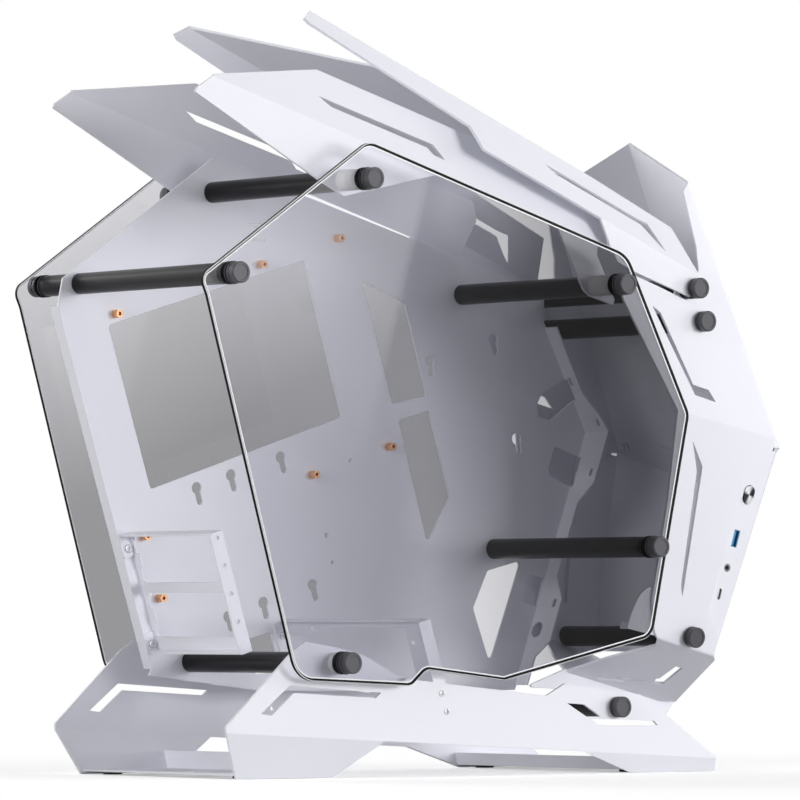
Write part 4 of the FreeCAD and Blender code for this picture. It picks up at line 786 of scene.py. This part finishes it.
sleeves = {}
for low, high in solids_of("glass_spacers"):
    sleeves.setdefault(round((high.y - low.y) / MM), []).append((low, high))
grown = []
for length, boxes in sorted(sleeves.items()):
    size = boxes[0][1] - boxes[0][0]
    values = {"Radius": size.x / 2 - THREAD_RIDGE, "Length": size.y, "Pitch": THREAD_PITCH,
              "Ridge": THREAD_RIDGE, "Material": sleeve_metal}
    middles = [(low + high) / 2 for low, high in boxes]
    grown.append(grow("sleeves_%d" % length, THREAD_MAKER, middles, values))
threaded = show_piece(join_meshes("threaded_sleeves", grown), CASE)
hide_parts("glass_spacers")

# %% [markdown]
# ## Contacts and pins
#
# The ports hold rows of gilt contacts, and the board behind them carries a header with two rows
# of pins. A block of small bars is a row of bars, repeated along a second line. The tree grows it
# flat at the origin, and the finished mesh is moved onto the board or the port that carries it.

# %% Bar block maker
def make_bar_maker():
    maker, given, gives = new_maker("bar_block", {
        "Across": ("NodeSocketInt", 4), "Along": ("NodeSocketInt", 1),
        "Pitch Across": ("NodeSocketFloat", 0.002), "Pitch Along": ("NodeSocketFloat", 0.002),
        "Bar": ("NodeSocketVector", (0.001, 0.001, 0.004))})
    shape = add_node(maker, "GeometryNodeMeshCube")
    join(maker, given.outputs["Bar"], shape.inputs["Size"])
    for axis, count, pitch in (("X", "Across", "Pitch Across"), ("Y", "Along", "Pitch Along")):
        gaps = sum_node(maker, "SUBTRACT", 1.0)
        length = sum_node(maker, "MULTIPLY")
        half_back = sum_node(maker, "MULTIPLY", -0.5)
        first = add_node(maker, "ShaderNodeCombineXYZ")
        step = add_node(maker, "ShaderNodeCombineXYZ")
        row = add_node(maker, "GeometryNodeMeshLine")
        place = add_node(maker, "GeometryNodeInstanceOnPoints")
        join(maker, given.outputs[count], gaps.inputs[0])
        chain(maker, gaps, length, half_back)
        join(maker, given.outputs[pitch], length.inputs[1])
        join(maker, half_back.outputs[0], first.inputs[axis])
        join(maker, given.outputs[pitch], step.inputs[axis])
        join(maker, given.outputs[count], row.inputs["Count"])
        join(maker, first.outputs[0], row.inputs["Start Location"])
        join(maker, step.outputs[0], row.inputs["Offset"])
        join(maker, row.outputs[0], place.inputs["Points"])
        join(maker, shape.outputs[0], place.inputs["Instance"])
        shape = place
    finish_maker(maker, given, gives, shape)
    return maker


BAR_MAKER = make_bar_maker()
print("bar maker with", len(BAR_MAKER.nodes), "nodes")

# %% Where the port board lies
OUT_OF_STRIP = Vector((0, -1, 0))


def flat_frame(node, outward):
    """Middle and axes of a flat node: x across, y along its longest side, z outwards."""
    points = np.array([v.co for v in nodes[node].data.vertices])
    middle = (points.min(0) + points.max(0)) / 2
    _, axes = np.linalg.eigh(np.cov((points - points.mean(0)).T))
    through, along = Vector(axes[:, 0]), Vector(axes[:, 2])
    if through.dot(outward) < 0:
        through.negate()
    if along.z < 0:
        along.negate()
    across = along.cross(through)
    return Vector(middle), across, along, through


def laid_on(mesh, flat, spot):
    """Moves a mesh from the origin to a spot that is given in a flat frame."""
    middle, *axes = flat
    turn = Matrix(axes).transposed().to_4x4()
    mesh.transform(Matrix.Translation(middle) @ turn @ Matrix.Translation(spot))
    return mesh


def reach_in(node, flat):
    """Lowest and highest corner of a node in a flat frame."""
    middle, *axes = flat
    spots = [[(v.co - middle).dot(axis) for axis in axes] for v in nodes[node].data.vertices]
    return Vector(min(c) for c in zip(*spots)), Vector(max(c) for c in zip(*spots))


board_at = flat_frame("port_board", OUT_OF_STRIP)
print("board middle", rounded(board_at[0], 4), "outwards", rounded(board_at[3]))

# %% Contacts and pins in their places
TONGUE_FACE = 0.15 * MM    # the contact side of the wide tongue, from the middle of its port
TONGUE_THICK = 0.7         # of the narrow tongue, with contacts on both sides
WIDE_CONTACTS_IN = 5.2 * MM       # from the mouth of the port to the middle of its contacts
NARROW_CONTACTS_IN = 3.4 * MM
PIN_OUT = 2.5              # of each pin stands out of the header


def bar_block(name, node, counts, pitches, bar, offset=0.0, mouth=None):
    """A block of bars on the long middle line of a node; pitches and bars are in millimetres.

    Its middle lies as far inside the mouth of the node as mouth says, or at the node's foot.
    """
    values = {"Across": counts[0], "Along": counts[1], "Pitch Across": pitches[0] * MM,
              "Pitch Along": pitches[1] * MM, "Bar": [side * MM for side in bar],
              "Material": gold}
    low, high = reach_in(node, board_at)
    height = low.z if mouth is None else high.z - mouth
    spot = ((low.x + high.x) / 2 + offset, (low.y + high.y) / 2, height)
    mesh = grow(name, BAR_MAKER, [(0, 0, 0)], values)
    show_piece(laid_on(mesh, board_at, spot), CASE)


bar_block("usb_a_contacts", "usb_a_insert", (1, 4), (1.0, 2.5), (0.16, 1.0, 7.0),
          TONGUE_FACE, WIDE_CONTACTS_IN)
bar_block("usb_c_contacts", "usb_c_port", (2, 12), (TONGUE_THICK, 0.5), (0.08, 0.25, 3.4),
          mouth=NARROW_CONTACTS_IN)
bar_block("header_pins", "port_board", (2, 8), (2.0, 2.0), (0.5, 0.5, 2 * PIN_OUT))

# %% [markdown]
# ## Spun button
#
# The face of the button is polished in circles, and such a face mirrors its surroundings as two
# dark wedges that meet in the middle. Here the wedges are a painted reflection: the angle round
# the middle of the face picks them, the colour is painted dark on them and bright between them,
# and the roughness follows them too.

# %% Spun button
# The wedges and the bright and dark steel colours below are a painted reflection of the
# surroundings.
WEDGE_RISE = math.radians(22)     # the dark wedges rise towards the front
WEDGE_EDGE = (0.40, 0.90)         # from bright to dark, as the cosine of the angle off them
PAINTED_BRIGHT_REFLECTION = (0.70, 0.70, 0.73, 1)
PAINTED_DARK_REFLECTION = (0.03, 0.03, 0.035, 1)
BRIGHT_ROUGHNESS, DARK_ROUGHNESS = 0.18, 0.34
LOOKS_OUT = 0.5                   # least cosine between a face's normal and the way out


def main_face(node, outward):
    """Middle and normal of the largest flat face of a node that looks outward."""
    areas, middles = {}, {}
    for face in nodes[node].data.polygons:
        if face.normal.dot(outward) > LOOKS_OUT:
            key = rounded(face.normal)
            areas[key] = areas.get(key, 0.0) + face.area
            middles[key] = middles.get(key, Vector()) + face.center * face.area
    key = max(areas, key=areas.get)
    return middles[key] / areas[key], Vector(key).normalized()


def painted_wedge_metal(name, middle, outward):
    """Metal polished in circles round the middle of a face, with a painted reflection of two dark
    wedges in its colour.
    """
    material, tree, shader = principled(name, (0.62, 0.62, 0.64), 0.2, 1.0)
    upwards = (Vector((0, 0, 1)) - outward * outward.z).normalized()
    forwards = upwards.cross(outward)
    wedge = forwards * math.cos(WEDGE_RISE) + upwards * math.sin(WEDGE_RISE)
    place = add_node(tree, "ShaderNodeTexCoord")
    offset = add_node(tree, "ShaderNodeVectorMath", middle, operation="SUBTRACT")
    pair = add_node(tree, "ShaderNodeCombineXYZ")
    unit = add_node(tree, "ShaderNodeVectorMath", operation="NORMALIZE")
    split = add_node(tree, "ShaderNodeSeparateXYZ")
    size = sum_node(tree, "ABSOLUTE")
    painted_wedge_mask = add_node(tree, "ShaderNodeMapRange", interpolation_type="SMOOTHSTEP",
                    From_Min=WEDGE_EDGE[0], From_Max=WEDGE_EDGE[1])
    # The tone is a painted reflection: bright steel between the wedges and dark steel on them.
    tone = add_node(tree, "ShaderNodeMix", data_type="RGBA")
    tone.inputs["A"].default_value = PAINTED_BRIGHT_REFLECTION
    tone.inputs["B"].default_value = PAINTED_DARK_REFLECTION
    dull = add_node(tree, "ShaderNodeMapRange", To_Min=BRIGHT_ROUGHNESS, To_Max=DARK_ROUGHNESS)
    join(tree, place.outputs["Object"], offset.inputs[0])
    for k, axis in enumerate((wedge, wedge.cross(outward))):
        onto = add_node(tree, "ShaderNodeVectorMath", axis, operation="DOT_PRODUCT")
        chain(tree, offset, onto)
        join(tree, onto.outputs["Value"], pair.inputs[k])
    chain(tree, pair, unit, split)
    join(tree, split.outputs["X"], size.inputs[0])
    join(tree, size.outputs[0], painted_wedge_mask.inputs["Value"])
    join(tree, painted_wedge_mask.outputs["Result"], tone.inputs["Factor"])
    join(tree, painted_wedge_mask.outputs["Result"], dull.inputs["Value"])
    join(tree, tone.outputs["Result"], shader.inputs["Base Color"])
    join(tree, dull.outputs["Result"], shader.inputs["Roughness"])
    return material


button_middle, button_out = main_face("power_button", OUT_OF_STRIP)
spun = painted_wedge_metal("spun_button_painted_reflection", button_middle, button_out)
for slot in nodes["power_button"].material_slots:
    slot.material = spun
print("button face at", rounded(button_middle, 4))

# %% [markdown]
# ## Rims of the panes
#
# The polished rim of a smoked pane is seen through its own edge as a bold dark line, and beside it
# the ground edge shows a thin pale one. Both are painted here as flat bands on the outer face: the
# dark line is painted shade, and the pale one a painted highlight. Both follow the outline of the
# pane, so one tree sweeps a flat profile along that outline. It works lying flat, where the inside
# of the outline is always on the same hand, and then stands the band up at its pane. The profile
# is one metre wide and each point of the outline carries its reach, which scales the profile. So
# the painted dark line narrows where the rim itself faces the camera, and the pale band lies under
# it and looks out by an even width.

# %% Rim band maker
PROFILE_WIDTH = 1.0


def make_band_maker():
    maker, given, gives = new_maker("rim_band", {
        "Flatness": ("NodeSocketFloat", 0.02),
        "Face Y": ("NodeSocketFloat", -0.116)})
    path = add_node(maker, "GeometryNodeMeshToCurve")
    upright = add_node(maker, "GeometryNodeSetCurveNormal", mode="Z_UP")
    reach = add_node(maker, "GeometryNodeInputNamedAttribute", data_type="FLOAT", Name="reach")
    profile = add_node(maker, "GeometryNodeCurvePrimitiveQuadrilateral", Width=PROFILE_WIDTH)
    inwards = add_node(maker, "GeometryNodeTransform", Translation=(-PROFILE_WIDTH / 2, 0, 0))
    sweep = add_node(maker, "GeometryNodeCurveToMesh")
    spot = add_node(maker, "ShaderNodeCombineXYZ")
    stand = add_node(maker, "GeometryNodeTransform", Rotation=STAND_UP)
    join(maker, given.outputs["Geometry"], path.inputs[0])
    chain(maker, path, upright, sweep, stand)
    join(maker, given.outputs["Flatness"], profile.inputs["Height"])
    chain(maker, profile, inwards)
    join(maker, reach.outputs["Attribute"], sweep.inputs["Scale"])
    join(maker, inwards.outputs[0], sweep.inputs["Profile Curve"])
    join(maker, given.outputs["Face Y"], spot.inputs["Y"])
    join(maker, spot.outputs[0], stand.inputs["Translation"])
    finish_maker(maker, given, gives, stand)
    return maker


BAND_MAKER = make_band_maker()
# Widths of the painted dark line, which is painted shade, and of the pale painted highlight band
# beside it.
RIM_BLACK = 1.6 * MM       # seen of the dark line where the rim faces up or down
RIM_DEEPER = 0.9 * MM      # and this much more where it faces the front
RIM_PALE = 0.9 * MM
RIM_LEAST = 0.03 * MM
RIM_FLATNESS = 0.04        # thickness of the profile for each metre of its width
RIM_LIFT = 0.06 * MM
print("band maker with", len(BAND_MAKER.nodes), "nodes")

# %% The outline of a pane
ON_FACE = 0.01 * MM


def pane_outline(node, side):
    """The outline of the outer face of a pane as x and z in order; side is -1 or 1 along Y."""
    mesh = nodes[node].data
    face_y = max(side * v.co.y for v in mesh.vertices) * side
    used = {}
    for face in mesh.polygons:
        spots = [mesh.vertices[k].co for k in face.vertices]
        if all(abs(spot.y - face_y) <= ON_FACE for spot in spots):
            keys = [rounded((spot.x, spot.z), 6) for spot in spots]
            used.update(dict.fromkeys(zip(keys, keys[1:] + keys[:1])))
    ahead = {a: b for a, b in used if (b, a) not in used}
    loops = []
    while ahead:
        start, step = ahead.popitem()
        loop = [start]
        while step != start:
            loop.append(step)
            step = ahead.pop(step)
        loops.append(loop)
    loop = max(loops, key=len)
    turn = sum(a[0] * b[1] - b[0] * a[1] for a, b in zip(loop, loop[1:] + loop[:1]))
    if turn < 0:
        loop.reverse()
    return loop, face_y


def dark_reach(loop):
    """For each point of an outline, the width of the painted dark line, painted shade, that shows
    inside the rim.
    """
    widths = []
    for before, after in zip(loop[-1:] + loop[:-1], loop[1:] + loop[:1]):
        run, rise = after[0] - before[0], after[1] - before[1]
        front = rise / math.hypot(rise, run)
        if front < 0:
            widths.append(RIM_LEAST + RIM_BLACK * (1 + front))
        else:
            widths.append(RIM_LEAST + RIM_BLACK + RIM_DEEPER * front)
    return widths


# %% Grow the bands
# The black band is painted shade of the rim and the pale band a painted highlight of the ground
# edge, both laid on the outer face of each pane.
ground_painted_highlight_band = coated("ground_edge_painted_highlight", (0.88, 0.88, 0.91), 0.35)
rim_painted_shade_band = principled("black_rim_line", (0.003, 0.003, 0.004), 0.5, specular=0.1)[0]
BANDS = (("black", 0.0, 2 * RIM_LIFT, rim_painted_shade_band), ("pale", RIM_PALE, RIM_LIFT, ground_painted_highlight_band))
for node, side in (("glass_left", -1), ("glass_right", 1)):
    loop, face_y = pane_outline(node, side)
    points = [(x, z, 0) for x, z in loop]
    edges = [(k, (k + 1) % len(loop)) for k in range(len(loop))]
    dark = dark_reach(loop)
    for word, extra, lift, paint in BANDS:
        values = {"Flatness": RIM_FLATNESS, "Face Y": face_y + side * lift, "Material": paint}
        mesh = grow("%s_rim_%s" % (node, word), BAND_MAKER, points, values, edges,
                    [width + extra for width in dark])
        show_piece(mesh, CASE)
